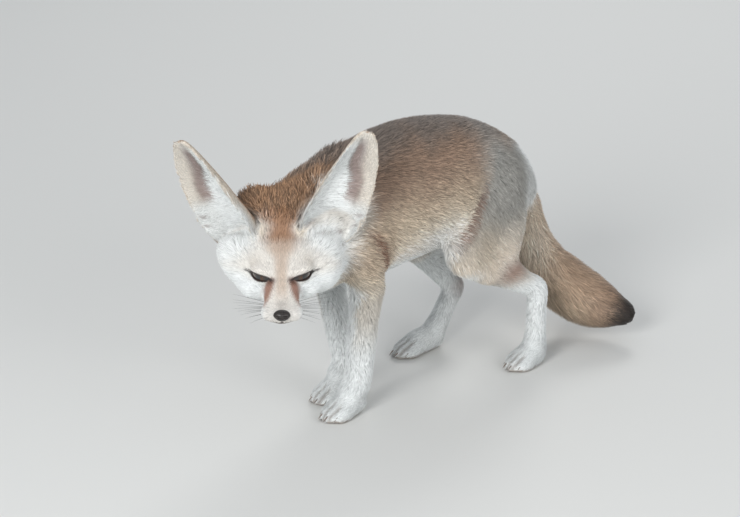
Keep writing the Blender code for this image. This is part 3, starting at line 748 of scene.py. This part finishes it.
# No hair grows between the lids, and their edges carry the shortest.
bare = np.zeros(len(x))
lid_gap = np.ones(len(x))
for side in (1, -1):
    local = eye_view(points, side)
    opening = almond(local[:, 0], local[:, 2], 0.07) < 1.0
    bare += opening & (local[:, 1] < 0) & (lengths_of(local) < EYE_RADIUS + 0.5)
    reach = np.sqrt((local[:, 0] / 1.6) ** 2 + (local[:, 2] / 0.8) ** 2)
    lid_gap = np.minimum(lid_gap, np.where(local[:, 1] < 0, ramp(reach, 0.45, 1.1), 1))
hair_high *= 0.3 + 0.7 * lid_gap
hair_long *= 0.5 + 0.5 * lid_gap
nose_away = lengths_of((face - (3.45, 0, -1.32)) / (0.46, 0.68, 0.5))
bare += nose_away < 1

colour_layer = skin_mesh.color_attributes.new("coat_colour", "FLOAT_COLOR", "POINT")
rgba = np.ones((len(points), 4), dtype=np.float32)
rgba[:, :3] = colours
colour_layer.data.foreach_set("color", rgba.ravel())


def node(tree, kind, links=(), **settings):
    """Adds a shader node with its settings, and links that name its inputs."""
    made = tree.nodes.new(kind)
    for key, value in settings.items():
        if hasattr(made, key):
            setattr(made, key, value)
        else:
            made.inputs[key.replace("_", " ")].default_value = value
    for socket, origin in links:
        tree.links.new(origin, made.inputs[socket])
    return made


def new_material(name):
    made = bpy.data.materials.new(name)
    made.use_nodes = True
    made.node_tree.nodes.clear()
    return made, made.node_tree


# Short felted underfur on the hide: matt, with fine hair relief of about 0.6 mm.
underfur, tree = new_material("felted_underfur")
surface = node(tree, "ShaderNodeBsdfPrincipled", Roughness=0.85, IOR=1.5)
node(tree, "ShaderNodeOutputMaterial", [("Surface", surface.outputs["BSDF"])])
paint = node(tree, "ShaderNodeAttribute", attribute_name="coat_colour")
where = node(tree, "ShaderNodeTexCoord")
hairs = node(
    tree, "ShaderNodeTexNoise", [("Vector", where.outputs["Object"])],
    Scale=1 / 0.0012, Detail=3.0, Roughness=0.6,
)
shade = node(tree, "ShaderNodeMapRange", [("Value", hairs.outputs["Fac"])], To_Min=0.62, To_Max=0.95)
tint = node(
    tree, "ShaderNodeMix", [(6, paint.outputs["Color"]), (7, shade.outputs["Result"])],
    data_type="RGBA", blend_type="MULTIPLY",
)
tint.inputs[0].default_value = 1.0
relief = node(
    tree, "ShaderNodeBump", [("Height", hairs.outputs["Fac"])], Strength=0.6, Distance=0.0006
)
tree.links.new(tint.outputs[2], surface.inputs["Base Color"])
tree.links.new(relief.outputs["Normal"], surface.inputs["Normal"])

skin = object_from("skin", skin_mesh, underfur)
skin_mesh.shade_smooth()
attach(skin, "root")
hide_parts(*FLESH)

# Coat
# Guard hair over the hide, standing in narrow locks that lie back along the body. Each lock
# is a small ridged blade, rooted in the hide, that follows its curve to a free tip.
hide_tree = search_tree(points, corners)
face_corners = points[corners]
face_area = np.linalg.norm(
    np.cross(face_corners[:, 1] - face_corners[:, 0], face_corners[:, 2] - face_corners[:, 0]), axis=1
) / 2

# A coarse copy of the hide is unwrapped, to give each lock its place on the hide's own map.
thin = object_from("thin", skin_mesh.copy())
fewer = thin.modifiers.new("fewer", "DECIMATE")
fewer.ratio = 6000 / len(corners)
map_mesh = settled(thin, "hide_map")
map_object = object_from("hide_map", map_mesh)
bpy.context.view_layer.objects.active = map_object
map_object.select_set(True)
bpy.ops.object.mode_set(mode="EDIT")
bpy.ops.mesh.select_all(action="SELECT")
bpy.ops.uv.smart_project(angle_limit=math.radians(66), island_margin=0.004)
bpy.ops.object.mode_set(mode="OBJECT")
map_points = points_of(map_mesh)
map_corners = corners_of(map_mesh)
map_loops = np.empty(len(map_mesh.loop_triangles) * 3, dtype=np.int32)
map_mesh.loop_triangles.foreach_get("loops", map_loops)
map_uv = np.empty(len(map_mesh.loops) * 2, dtype=np.float32)
map_mesh.uv_layers.active.data.foreach_get("uv", map_uv)
map_uv = map_uv.reshape(-1, 2)[map_loops].reshape(-1, 3, 2)
map_tree = search_tree(map_points, map_corners)
face_middle = face_corners.mean(axis=1)
map_face = np.array([map_tree.find_nearest(Vector(p))[2] for p in face_middle])
bpy.data.objects.remove(map_object)


def map_place(roots, faces):
    """Where the roots lie on the hide's unwrap."""
    chosen = map_face[faces]
    a, b, c = (map_points[map_corners[chosen, k]] for k in range(3))
    one, two, to = b - a, c - a, roots - a
    d11, d12, d22 = (one * one).sum(1), (one * two).sum(1), (two * two).sum(1)
    e1, e2 = (to * one).sum(1), (to * two).sum(1)
    scale = np.maximum(d11 * d22 - d12 * d12, 1e-20)
    v = np.clip((d22 * e1 - d12 * e2) / scale, 0, 1)
    w = np.clip((d11 * e2 - d12 * e1) / scale, 0, 1)
    u = np.clip(1 - v - w, 0, 1)
    weights = np.stack((u, v, w), 1)
    weights /= weights.sum(1, keepdims=True)
    return np.sum(weights[:, :, None] * map_uv[chosen], axis=1)


# Keratin hair: pale and satin, with fine strands drawn along each lock.
guard_hair, tree = new_material("guard_hair")
surface = node(
    tree, "ShaderNodeBsdfPrincipled",
    Roughness=0.62, IOR=1.5, Sheen_Weight=0.2, Sheen_Roughness=0.5,
)
node(tree, "ShaderNodeOutputMaterial", [("Surface", surface.outputs["BSDF"])])
paint = node(tree, "ShaderNodeAttribute", attribute_name="coat_colour")
strand_map = node(tree, "ShaderNodeUVMap", uv_map="strand")
stretch = node(tree, "ShaderNodeMapping", [("Vector", strand_map.outputs["UV"])], Scale=(6.0, 0.6, 1.0))
strands = node(
    tree, "ShaderNodeTexNoise", [("Vector", stretch.outputs["Vector"])], Scale=1.0, Detail=2.0
)
shade = node(tree, "ShaderNodeMapRange", [("Value", strands.outputs["Fac"])], To_Min=0.72, To_Max=1.18)
tint = node(
    tree, "ShaderNodeMix", [(6, paint.outputs["Color"]), (7, shade.outputs["Result"])],
    data_type="RGBA", blend_type="MULTIPLY",
)
tint.inputs[0].default_value = 1.0
tree.links.new(tint.outputs[2], surface.inputs["Base Color"])

chance = np.random.default_rng(7)
hair_total = 0


def coat(name, chosen, density, rings, ticking=0.0, spread=0.16, free=0.0008):
    """Locks over the chosen faces of the hide, so many to a square centimetre."""
    global hair_total
    per_face = chosen * face_area * 1e4 * density * (1 - bare[corners].max(axis=1) > 0.5)
    running = np.cumsum(per_face)
    count = int(running[-1])
    picks = np.arange(count) + chance.random(count)
    faces = np.minimum(np.searchsorted(running, picks), len(corners) - 1)
    one, two = chance.random(count), chance.random(count)
    flip = one + two > 1
    one, two = np.where(flip, 1 - one, one), np.where(flip, 1 - two, two)
    weights = np.stack((1 - one - two, one, two), 1)
    ends = corners[faces]

    def at_root(values):
        if values.ndim == 1:
            return np.sum(weights * values[ends], axis=1)
        return np.sum(weights[:, :, None] * values[ends], axis=1)

    roots, up, along = at_root(points), unit(at_root(normals)), at_root(way)
    longs = at_root(hair_long) * chance.uniform(0.75, 1.2, count) / 1000
    highs = at_root(hair_high) * chance.uniform(0.62, 1.0, count) / 1000
    wides = at_root(hair_wide) * chance.uniform(0.75, 1.25, count) / 1000
    tones = at_root(colours)
    place = roots / CM
    lean = 0.5 * np.sin(place @ (2.1, 1.3, 1.7)) + 0.5 * np.sin(place @ (-1.9, 3.7, 2.3) + 1)
    turn = spread * lean + chance.normal(0, spread, count)
    aside_way = np.cross(up, along)
    along = unit(along * np.cos(turn)[:, None] + aside_way * np.sin(turn)[:, None])
    along = unit(along - up * np.sum(along * up, axis=1, keepdims=True))

    stops = []
    for share in (0.5, 1.0):
        aims = roots + along * (longs * share)[:, None]
        hits, outs = np.array(aims), np.array(up)
        for k, aim in enumerate(aims):
            hit, out, _, gap = hide_tree.find_nearest(Vector(aim), 0.012)
            if hit is not None and gap < 0.6 * longs[k] and up[k] @ out > -0.2:
                hits[k] = hit
                outs[k] = out
        rise_by = (0.58 if share < 1 else 1.0) * highs
        stops.append((hits + outs * rise_by[:, None], outs))
    (middle, _), (tip, tip_out) = stops
    # A tip that would stand out past the solid's own outline is laid back on it.
    for k, (hit, out) in enumerate(zip(tip, tip_out)):
        spot_on, facing, _, gap = outline.find_nearest(Vector(hit), 0.03)
        if spot_on is not None and gap > free and (Vector(hit) - spot_on) @ facing > 0:
            tip[k] = spot_on + facing * free
    start = roots - up * 0.0004
    steps = np.linspace(0, 1, rings + 1)
    bend = 2 * middle - 0.5 * (start + tip)
    tapers = np.interp(steps, (0, 0.3, 0.7, 1), (0.7, 1.0, 0.72, 0))

    rows, row_tones, row_uv = [], [], []
    root_uv = map_place(roots, faces)
    bright = chance.normal(1.0, 0.09, count)
    ticked = chance.random(count)
    tip_shade = np.where(ticked < ticking, 0.45, np.where(ticked < 2 * ticking, 1.85, 1.05))
    for k, step in enumerate(steps):
        line = start * (1 - step) ** 2 + bend * 2 * step * (1 - step) + tip * step**2
        slope = unit((bend - start) * (1 - step) + (tip - bend) * step)
        out = unit(up * (1 - step) + tip_out * step)
        across = unit(np.cross(slope, out))
        half = (wides * tapers[k] / 2)[:, None]
        ridge = line + out * half * 0.7
        tone = tones * (bright * (0.72 + 0.28 * min(step / 0.4, 1)))[:, None]
        tone = tone * (1 + (tip_shade - 1) * ramp(step, 0.45, 0.8))[:, None]
        level = -0.0015 + 0.003 * step
        if k < rings:
            rows += [line - across * half, ridge, line + across * half]
            row_tones += [tone] * 3
            row_uv += [root_uv + (offset, level) for offset in (-0.0015, 0.0, 0.0015)]
        else:
            rows.append(line)
            row_tones.append(tone)
            row_uv.append(root_uv + (0.0, level))
    size = 3 * rings + 1
    verts = np.stack(rows, axis=1).reshape(-1, 3)
    verts[:, 2] = np.maximum(verts[:, 2], 0.0003)
    tone = np.ones((len(verts), 4), dtype=np.float32)
    tone[:, :3] = np.clip(np.stack(row_tones, axis=1).reshape(-1, 3), 0, 1)
    places = np.clip(np.stack(row_uv, axis=1).reshape(-1, 2), 0, 1)
    pattern = []
    for k in range(rings - 1):
        a = 3 * k
        pattern += [(a, a + 1, a + 4), (a, a + 4, a + 3), (a + 1, a + 2, a + 5), (a + 1, a + 5, a + 4)]
    a = 3 * (rings - 1)
    pattern += [(a, a + 1, a + 3), (a + 1, a + 2, a + 3)]
    tris = (np.array(pattern)[None] + size * np.arange(count)[:, None, None]).reshape(-1, 3)
    tris = tris[:, ::-1].astype(np.int32)

    mesh = bpy.data.meshes.new(name)
    mesh.vertices.add(len(verts))
    mesh.vertices.foreach_set("co", verts.astype(np.float32).ravel())
    mesh.loops.add(tris.size)
    mesh.loops.foreach_set("vertex_index", tris.ravel())
    mesh.polygons.add(len(tris))
    mesh.polygons.foreach_set("loop_start", np.arange(0, tris.size, 3, dtype=np.int32))
    mesh.update(calc_edges=True)
    mesh.shade_smooth()
    layer = mesh.color_attributes.new("coat_colour", "FLOAT_COLOR", "POINT")
    layer.data.foreach_set("color", tone.ravel())
    baked = mesh.uv_layers.new(name="OFBake")
    baked.data.foreach_set("uv", places[tris.ravel()].astype(np.float32).ravel())
    own = np.zeros((size, 2))
    own[:, 0] = [0, 0.5, 1] * rings + [0.5]
    own[:, 1] = np.repeat(steps, [3] * rings + [1])
    shift = chance.random((count, 1, 2)) * 40
    strand_uv = (own[None] + shift).reshape(-1, 2)
    strand = mesh.uv_layers.new(name="strand")
    strand.data.foreach_set("uv", strand_uv[tris.ravel()].astype(np.float32).ravel())
    mesh.validate()
    piece = object_from(name, mesh, guard_hair)
    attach(piece, "root")
    hair_total += len(tris)
    print("coat", name, count, "locks", len(tris), "triangles")


group_at = np.argmax(shares, axis=1)[corners[:, 0]]
face_y = from_spine(face_middle)[:, 1]
face_forward = head_view(face_middle)[:, 0]
TRUNK, NECK, THIGH, SHANK, FORELEG, PAW, TAIL, HEAD, EAR = range(9)
nape_at = (hair_high > 8.5)[corners].all(axis=1) & (group_at != TAIL)
nape_at &= np.isin(group_at, (HEAD, NECK)) & (head_view(face_middle)[:, 2] > 0.8)
coat("coat_shoulders", (group_at == TRUNK) & (face_y < -3.6), 160, 2, 0.28)
flanks = (group_at == TRUNK) & (face_y >= -3.6) & (face_y < 2.2)
coat("coat_flanks", flanks, 160, 2, 0.28)
coat("coat_rump", (group_at == TRUNK) & (face_y >= 2.2), 160, 2, 0.18)
coat("coat_neck", (group_at == NECK) & ~nape_at, 150, 2, 0.22, 0.2)
coat("coat_nape", nape_at, 130, 3, 0.34, 0.34, 0.006)
coat("coat_thighs", group_at == THIGH, 130, 2, 0.08)
coat("coat_hind_legs", group_at == SHANK, 110, 2)
coat("coat_forelegs", group_at == FORELEG, 110, 2)
coat("coat_paws", group_at == PAW, 160, 2)
coat("coat_tail", group_at == TAIL, 220, 2, 0.14, 0.16)
head_rest = (group_at == HEAD) & ~nape_at
coat("coat_face", head_rest & (face_forward > -1.2), 420, 2, 0.0, 0.1)
coat("coat_cheeks", head_rest & (face_forward <= -1.2), 190, 2, 0.05, 0.16, 0.0025)
coat("coat_ears", group_at == EAR, 150, 2, 0.05, 0.14)
print("coat triangles", hair_total)

# Eyes
# Glass eyes as a taxidermist sets them: a dark amber iris and an upright pupil, painted
# behind a clear gloss dome, with bare dark rims of skin round the opening.
eye_glass, tree = new_material("painted_glass_eye")
surface = node(
    tree, "ShaderNodeBsdfPrincipled",
    Roughness=0.04, IOR=1.45, Coat_Weight=1.0, Coat_Roughness=0.02,
)
node(tree, "ShaderNodeOutputMaterial", [("Surface", surface.outputs["BSDF"])])
iris_map = node(tree, "ShaderNodeAttribute", attribute_name="iris")
rings_ramp = node(tree, "ShaderNodeValToRGB", [("Fac", iris_map.outputs["Fac"])])
steps = rings_ramp.color_ramp.elements
steps[0].position = 0.0
steps[0].color = (*linear("060505"), 1)
steps[1].position = 0.34
steps[1].color = (*linear("080605"), 1)
for position, code in ((0.4, "4a2d16"), (0.72, "33200f"), (0.84, "0c0908"), (1.0, "1a1412")):
    stop = steps.new(position)
    stop.color = (*linear(code), 1)
tree.links.new(rings_ramp.outputs["Color"], surface.inputs["Base Color"])

rim_skin, tree = new_material("bare_rim_skin")
surface = node(tree, "ShaderNodeBsdfPrincipled", Roughness=0.42, IOR=1.45)
node(tree, "ShaderNodeOutputMaterial", [("Surface", surface.outputs["BSDF"])])
where = node(tree, "ShaderNodeTexCoord")
grain = node(
    tree, "ShaderNodeTexNoise", [("Vector", where.outputs["Object"])], Scale=1 / 0.0006, Detail=2.0
)
tone = node(tree, "ShaderNodeValToRGB", [("Fac", grain.outputs["Fac"])])
tone.color_ramp.elements[0].color = (*linear("17100d"), 1)
tone.color_ramp.elements[1].color = (*linear("3a2820"), 1)
tree.links.new(tone.outputs["Color"], surface.inputs["Base Color"])
relief = node(tree, "ShaderNodeBump", [("Height", grain.outputs["Fac"])], Strength=0.3, Distance=0.0003)
tree.links.new(relief.outputs["Normal"], surface.inputs["Normal"])

# Where the glass is cut flat behind the lids, and the way that each cut faces.
GLASS_CUTS = (((0, -0.85, 0), (0, 1, 0)), ((0, 0, 0.55), (0, 0, 1)), ((0, 0, -0.6), (0, 0, -1)))
for side, name in ((1, "left"), (-1, "right")):
    centre = eye_middle(side)
    axes = eye_axes(side)
    ball = bmesh.new()
    bmesh.ops.create_uvsphere(ball, u_segments=48, v_segments=32, radius=EYE_RADIUS * CM)
    tilt = Matrix.Rotation(math.radians(90), 3, "X")
    bmesh.ops.transform(ball, matrix=tilt.to_4x4(), verts=ball.verts)
    for place, outward in GLASS_CUTS:
        geometry = ball.verts[:] + ball.edges[:] + ball.faces[:]
        cut = bmesh.ops.bisect_plane(
            ball, geom=geometry, plane_co=Vector(place) * CM, plane_no=outward, clear_outer=True
        )
        edges_cut = [part for part in cut["geom_cut"] if isinstance(part, bmesh.types.BMEdge)]
        bmesh.ops.contextual_create(ball, geom=edges_cut)
    mesh = mesh_from(f"eye_{name}_glass", ball)
    local = points_of(mesh) / CM
    pupil = np.hypot(local[:, 0] * 1.3, local[:, 2] * 0.9)
    iris = np.where(local[:, 1] < 0, np.minimum(pupil, 1.0), 1.0)
    layer = mesh.attributes.new("iris", "FLOAT", "POINT")
    layer.data.foreach_set("value", iris.astype(np.float32))
    mesh.transform(Matrix.Translation(centre) @ axes.to_4x4())
    eye = object_from(f"eye_{name}_glass", mesh, eye_glass)
    mesh.shade_smooth()
    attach(eye, "root")
    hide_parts(f"eye_{name}")

    rim = bmesh.new()
    bmesh.ops.create_grid(rim, x_segments=56, y_segments=10, size=1)
    for vert in rim.verts:
        around = vert.co.x * math.pi
        about = vert.co.y * math.pi
        half = LID_HEIGHTS[0] if math.sin(around) > 0 else LID_HEIGHTS[1]
        ex = EYE_HALF * math.cos(around)
        ez = half * math.sin(around) * abs(math.sin(around)) ** 0.5
        base = Vector((ex * side, -math.sqrt(EYE_RADIUS**2 - ex * ex - ez * ez), ez))
        out = base.normalized()
        radial = Vector((ex * side * 0.6, 0, ez)).normalized()
        thick = 0.058
        vert.co = (base + out * (0.03 + thick * math.sin(about)) + radial * thick * math.cos(about)) * CM
    bmesh.ops.remove_doubles(rim, verts=rim.verts, dist=2e-5)
    bmesh.ops.recalc_face_normals(rim, faces=rim.faces)
    bmesh.ops.transform(rim, matrix=Matrix.Translation(centre) @ axes.to_4x4(), verts=rim.verts)
    lid = object_from(f"eyelid_rim_{name}", mesh_from(f"eyelid_rim_{name}", rim), rim_skin)
    lid.data.shade_smooth()
    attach(lid, "root")

# Nose
# The bare pad at the end of the muzzle: a rounded cushion with two comma-shaped nostrils
# and a furrow down its middle, in moist black skin that is finely cobbled.
nose_skin, tree = new_material("moist_nose_skin")
surface = node(
    tree, "ShaderNodeBsdfPrincipled",
    Roughness=0.36, IOR=1.45, Coat_Weight=0.25, Coat_Roughness=0.2,
)
node(tree, "ShaderNodeOutputMaterial", [("Surface", surface.outputs["BSDF"])])
where = node(tree, "ShaderNodeTexCoord")
cobbles = node(tree, "ShaderNodeTexVoronoi", [("Vector", where.outputs["Object"])], Scale=1 / 0.0007)
tone = node(tree, "ShaderNodeValToRGB", [("Fac", cobbles.outputs["Distance"])])
tone.color_ramp.elements[0].color = (*linear("3a332f"), 1)
tone.color_ramp.elements[1].color = (*linear("0f0c0b"), 1)
tree.links.new(tone.outputs["Color"], surface.inputs["Base Color"])
relief = node(
    tree, "ShaderNodeBump", [("Height", cobbles.outputs["Distance"])],
    Strength=0.5, Distance=0.0003, invert=True,
)
tree.links.new(relief.outputs["Normal"], surface.inputs["Normal"])

pad_shape = bmesh.new()
bmesh.ops.create_icosphere(pad_shape, subdivisions=5, radius=1)
for vert in pad_shape.verts:
    l, f, u = vert.co.x, -vert.co.y, vert.co.z
    width = 0.6 * (1 - 0.22 * max(0.0, -u))
    place = [3.45 + 0.4 * f - 0.06 * max(0.0, u), width * l, -1.32 + 0.42 * u * (0.92 if u > 0 else 1)]
    for nostril in (1, -1):
        off = math.hypot((place[1] - 0.27 * nostril) / 0.14, (place[2] + 1.36) / 0.1)
        slit = math.hypot((place[1] - 0.42 * nostril) / 0.12, (place[2] + 1.42) / 0.05)
        place[0] -= (0.22 * math.exp(-off * off) + 0.12 * math.exp(-slit * slit)) * max(0.0, f)
    place[0] -= 0.05 * math.exp(-((place[1] / 0.05) ** 2)) * max(0.0, f) * (1.0 if u < 0.3 else 0.3)
    vert.co = on_head(*place)
bmesh.ops.recalc_face_normals(pad_shape, faces=pad_shape.faces)
nose = object_from("nose_pad", mesh_from("nose_pad", pad_shape), nose_skin)
nose.data.shade_smooth()
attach(nose, "root")
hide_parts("nose")

# Whiskers
# Long stiff dark hairs, rooted in rows on the lip pads, thick at the root and bowed back.
whisker_hair, tree = new_material("dark_whisker_hair")
surface = node(
    tree, "ShaderNodeBsdfPrincipled",
    Base_Color=(*linear("2b2320"), 1), Roughness=0.4, IOR=1.5,
)
node(tree, "ShaderNodeOutputMaterial", [("Surface", surface.outputs["BSDF"])])
whiskers = bmesh.new()


def bent_cone(whole, segments, wide, narrow, cuts, shaped):
    """Adds a cone to the whole, its points placed by their share of length and offsets."""
    cone = bmesh.new()
    bmesh.ops.create_cone(
        cone, cap_ends=True, segments=segments, radius1=wide, radius2=narrow, depth=1
    )
    lengthwise = [e for e in cone.edges if abs(e.verts[0].co.z - e.verts[1].co.z) > 0.5]
    bmesh.ops.subdivide_edges(cone, edges=lengthwise, cuts=cuts)
    for vert in cone.verts:
        vert.co = shaped(vert.co.z + 0.5, vert.co.x, vert.co.y)
    piece = mesh_from("cone", cone)
    whole.from_mesh(piece)
    bpy.data.meshes.remove(piece)


for side in (1, -1):
    for k in range(12):
        row, column = divmod(k, 4)
        root = Vector((2.75 - 0.42 * column + 0.1 * row, (0.86 + 0.12 * column) * side, -1.2 - 0.2 * row))
        length = (2.0 + 0.65 * column) * (1 - 0.07 * row) * chance.uniform(0.85, 1.1)
        swing = chance.uniform(-0.1, 0.1)
        heading = Vector((-0.45 - 0.22 * column + swing, side, -0.2 - 0.16 * row)).normalized()
        droop = Vector((-0.5, 0, -0.35 - 0.1 * row)) * length * 0.22

        def along_whisker(t, across, deep):
            line = root + heading * length * t + droop * t * t
            return on_head(*line) + HEAD_AXES @ Vector((0, -across, deep))

        bent_cone(whiskers, 5, 0.013 * CM, 0.003 * CM, 9, along_whisker)
bmesh.ops.recalc_face_normals(whiskers, faces=whiskers.faces)
whisker_piece = object_from("whiskers", mesh_from("whiskers", whiskers), whisker_hair)
whisker_piece.data.shade_smooth()
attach(whisker_piece, "root")

# Claws
# Curved horn claws, one on each toe, their horn mottled dark and pale.
horn, tree = new_material("horn_claw")
surface = node(tree, "ShaderNodeBsdfPrincipled", Roughness=0.35, IOR=1.54)
node(tree, "ShaderNodeOutputMaterial", [("Surface", surface.outputs["BSDF"])])
where = node(tree, "ShaderNodeTexCoord")
layers = node(
    tree, "ShaderNodeTexNoise", [("Vector", where.outputs["Object"])], Scale=1 / 0.0015, Detail=2.0
)
tone = node(tree, "ShaderNodeValToRGB", [("Fac", layers.outputs["Fac"])])
tone.color_ramp.elements[0].color = (*linear("4a3d34"), 1)
tone.color_ramp.elements[1].color = (*linear("97877a"), 1)
tree.links.new(tone.outputs["Color"], surface.inputs["Base Color"])
claws = bmesh.new()
for (bx, by), reach, spread in PAWS.values():
    for place, length in TOES:
        tip = by - reach * length

        def along_claw(t, across, deep):
            drop = 0.5 + 0.12 * math.sin(2.2 * t) - 0.34 * t * t
            line = Vector((bx + place * spread, tip + 0.3 - 0.72 * t, drop)) - Vector(SPINE_MIDDLE)
            return line * CM + Vector((across * 0.8, 0, deep))

        bent_cone(claws, 10, 0.12 * CM, 0.02 * CM, 7, along_claw)
bmesh.ops.recalc_face_normals(claws, faces=claws.faces)
claw_piece = object_from("claws", mesh_from("claws", claws), horn)
claw_piece.data.shade_smooth()
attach(claw_piece, "root")

# Floor and light
# A plain pale studio floor, one large soft light high at the front left, a weaker one at
# the right, and an even pale room.
floor_paint, tree = new_material("pale_studio_floor")
surface = node(tree, "ShaderNodeBsdfPrincipled", Base_Color=(*linear("dededb"), 1), Roughness=0.75)
node(tree, "ShaderNodeOutputMaterial", [("Surface", surface.outputs["BSDF"])])
ground = bmesh.new()
bmesh.ops.create_grid(ground, x_segments=1, y_segments=1, size=8)
floor = object_from("floor", mesh_from("floor", ground), floor_paint)


def soft_light(name, place, aim, size, power):
    data = bpy.data.lights.new(name, "AREA")
    data.shape = "DISK"
    data.size = size
    data.energy = power
    lamp = bpy.data.objects.new(name, data)
    bpy.context.scene.collection.objects.link(lamp)
    turn = (Vector(aim) - Vector(place)).to_track_quat("-Z", "Y")
    lamp.matrix_world = Matrix.Translation(place) @ turn.to_matrix().to_4x4()


soft_light("key_light", (0.75, -1.75, 1.05), (0, -0.05, 0.1), 0.9, 27)
soft_light("fill_light", (1.8, 0.1, 0.7), (0, 0, 0.1), 1.2, 11)
soft_light("back_light", (-1.0, 1.3, 1.4), (0, 0, 0.12), 0.8, 9)
room = bpy.data.worlds.new("room")
room.use_nodes = True
room.node_tree.nodes["Background"].inputs["Color"].default_value = (0.86, 0.9, 0.95, 1)
room.node_tree.nodes["Background"].inputs["Strength"].default_value = 0.5
bpy.context.scene.world = room
bpy.context.scene.view_settings.view_transform = "Standard"
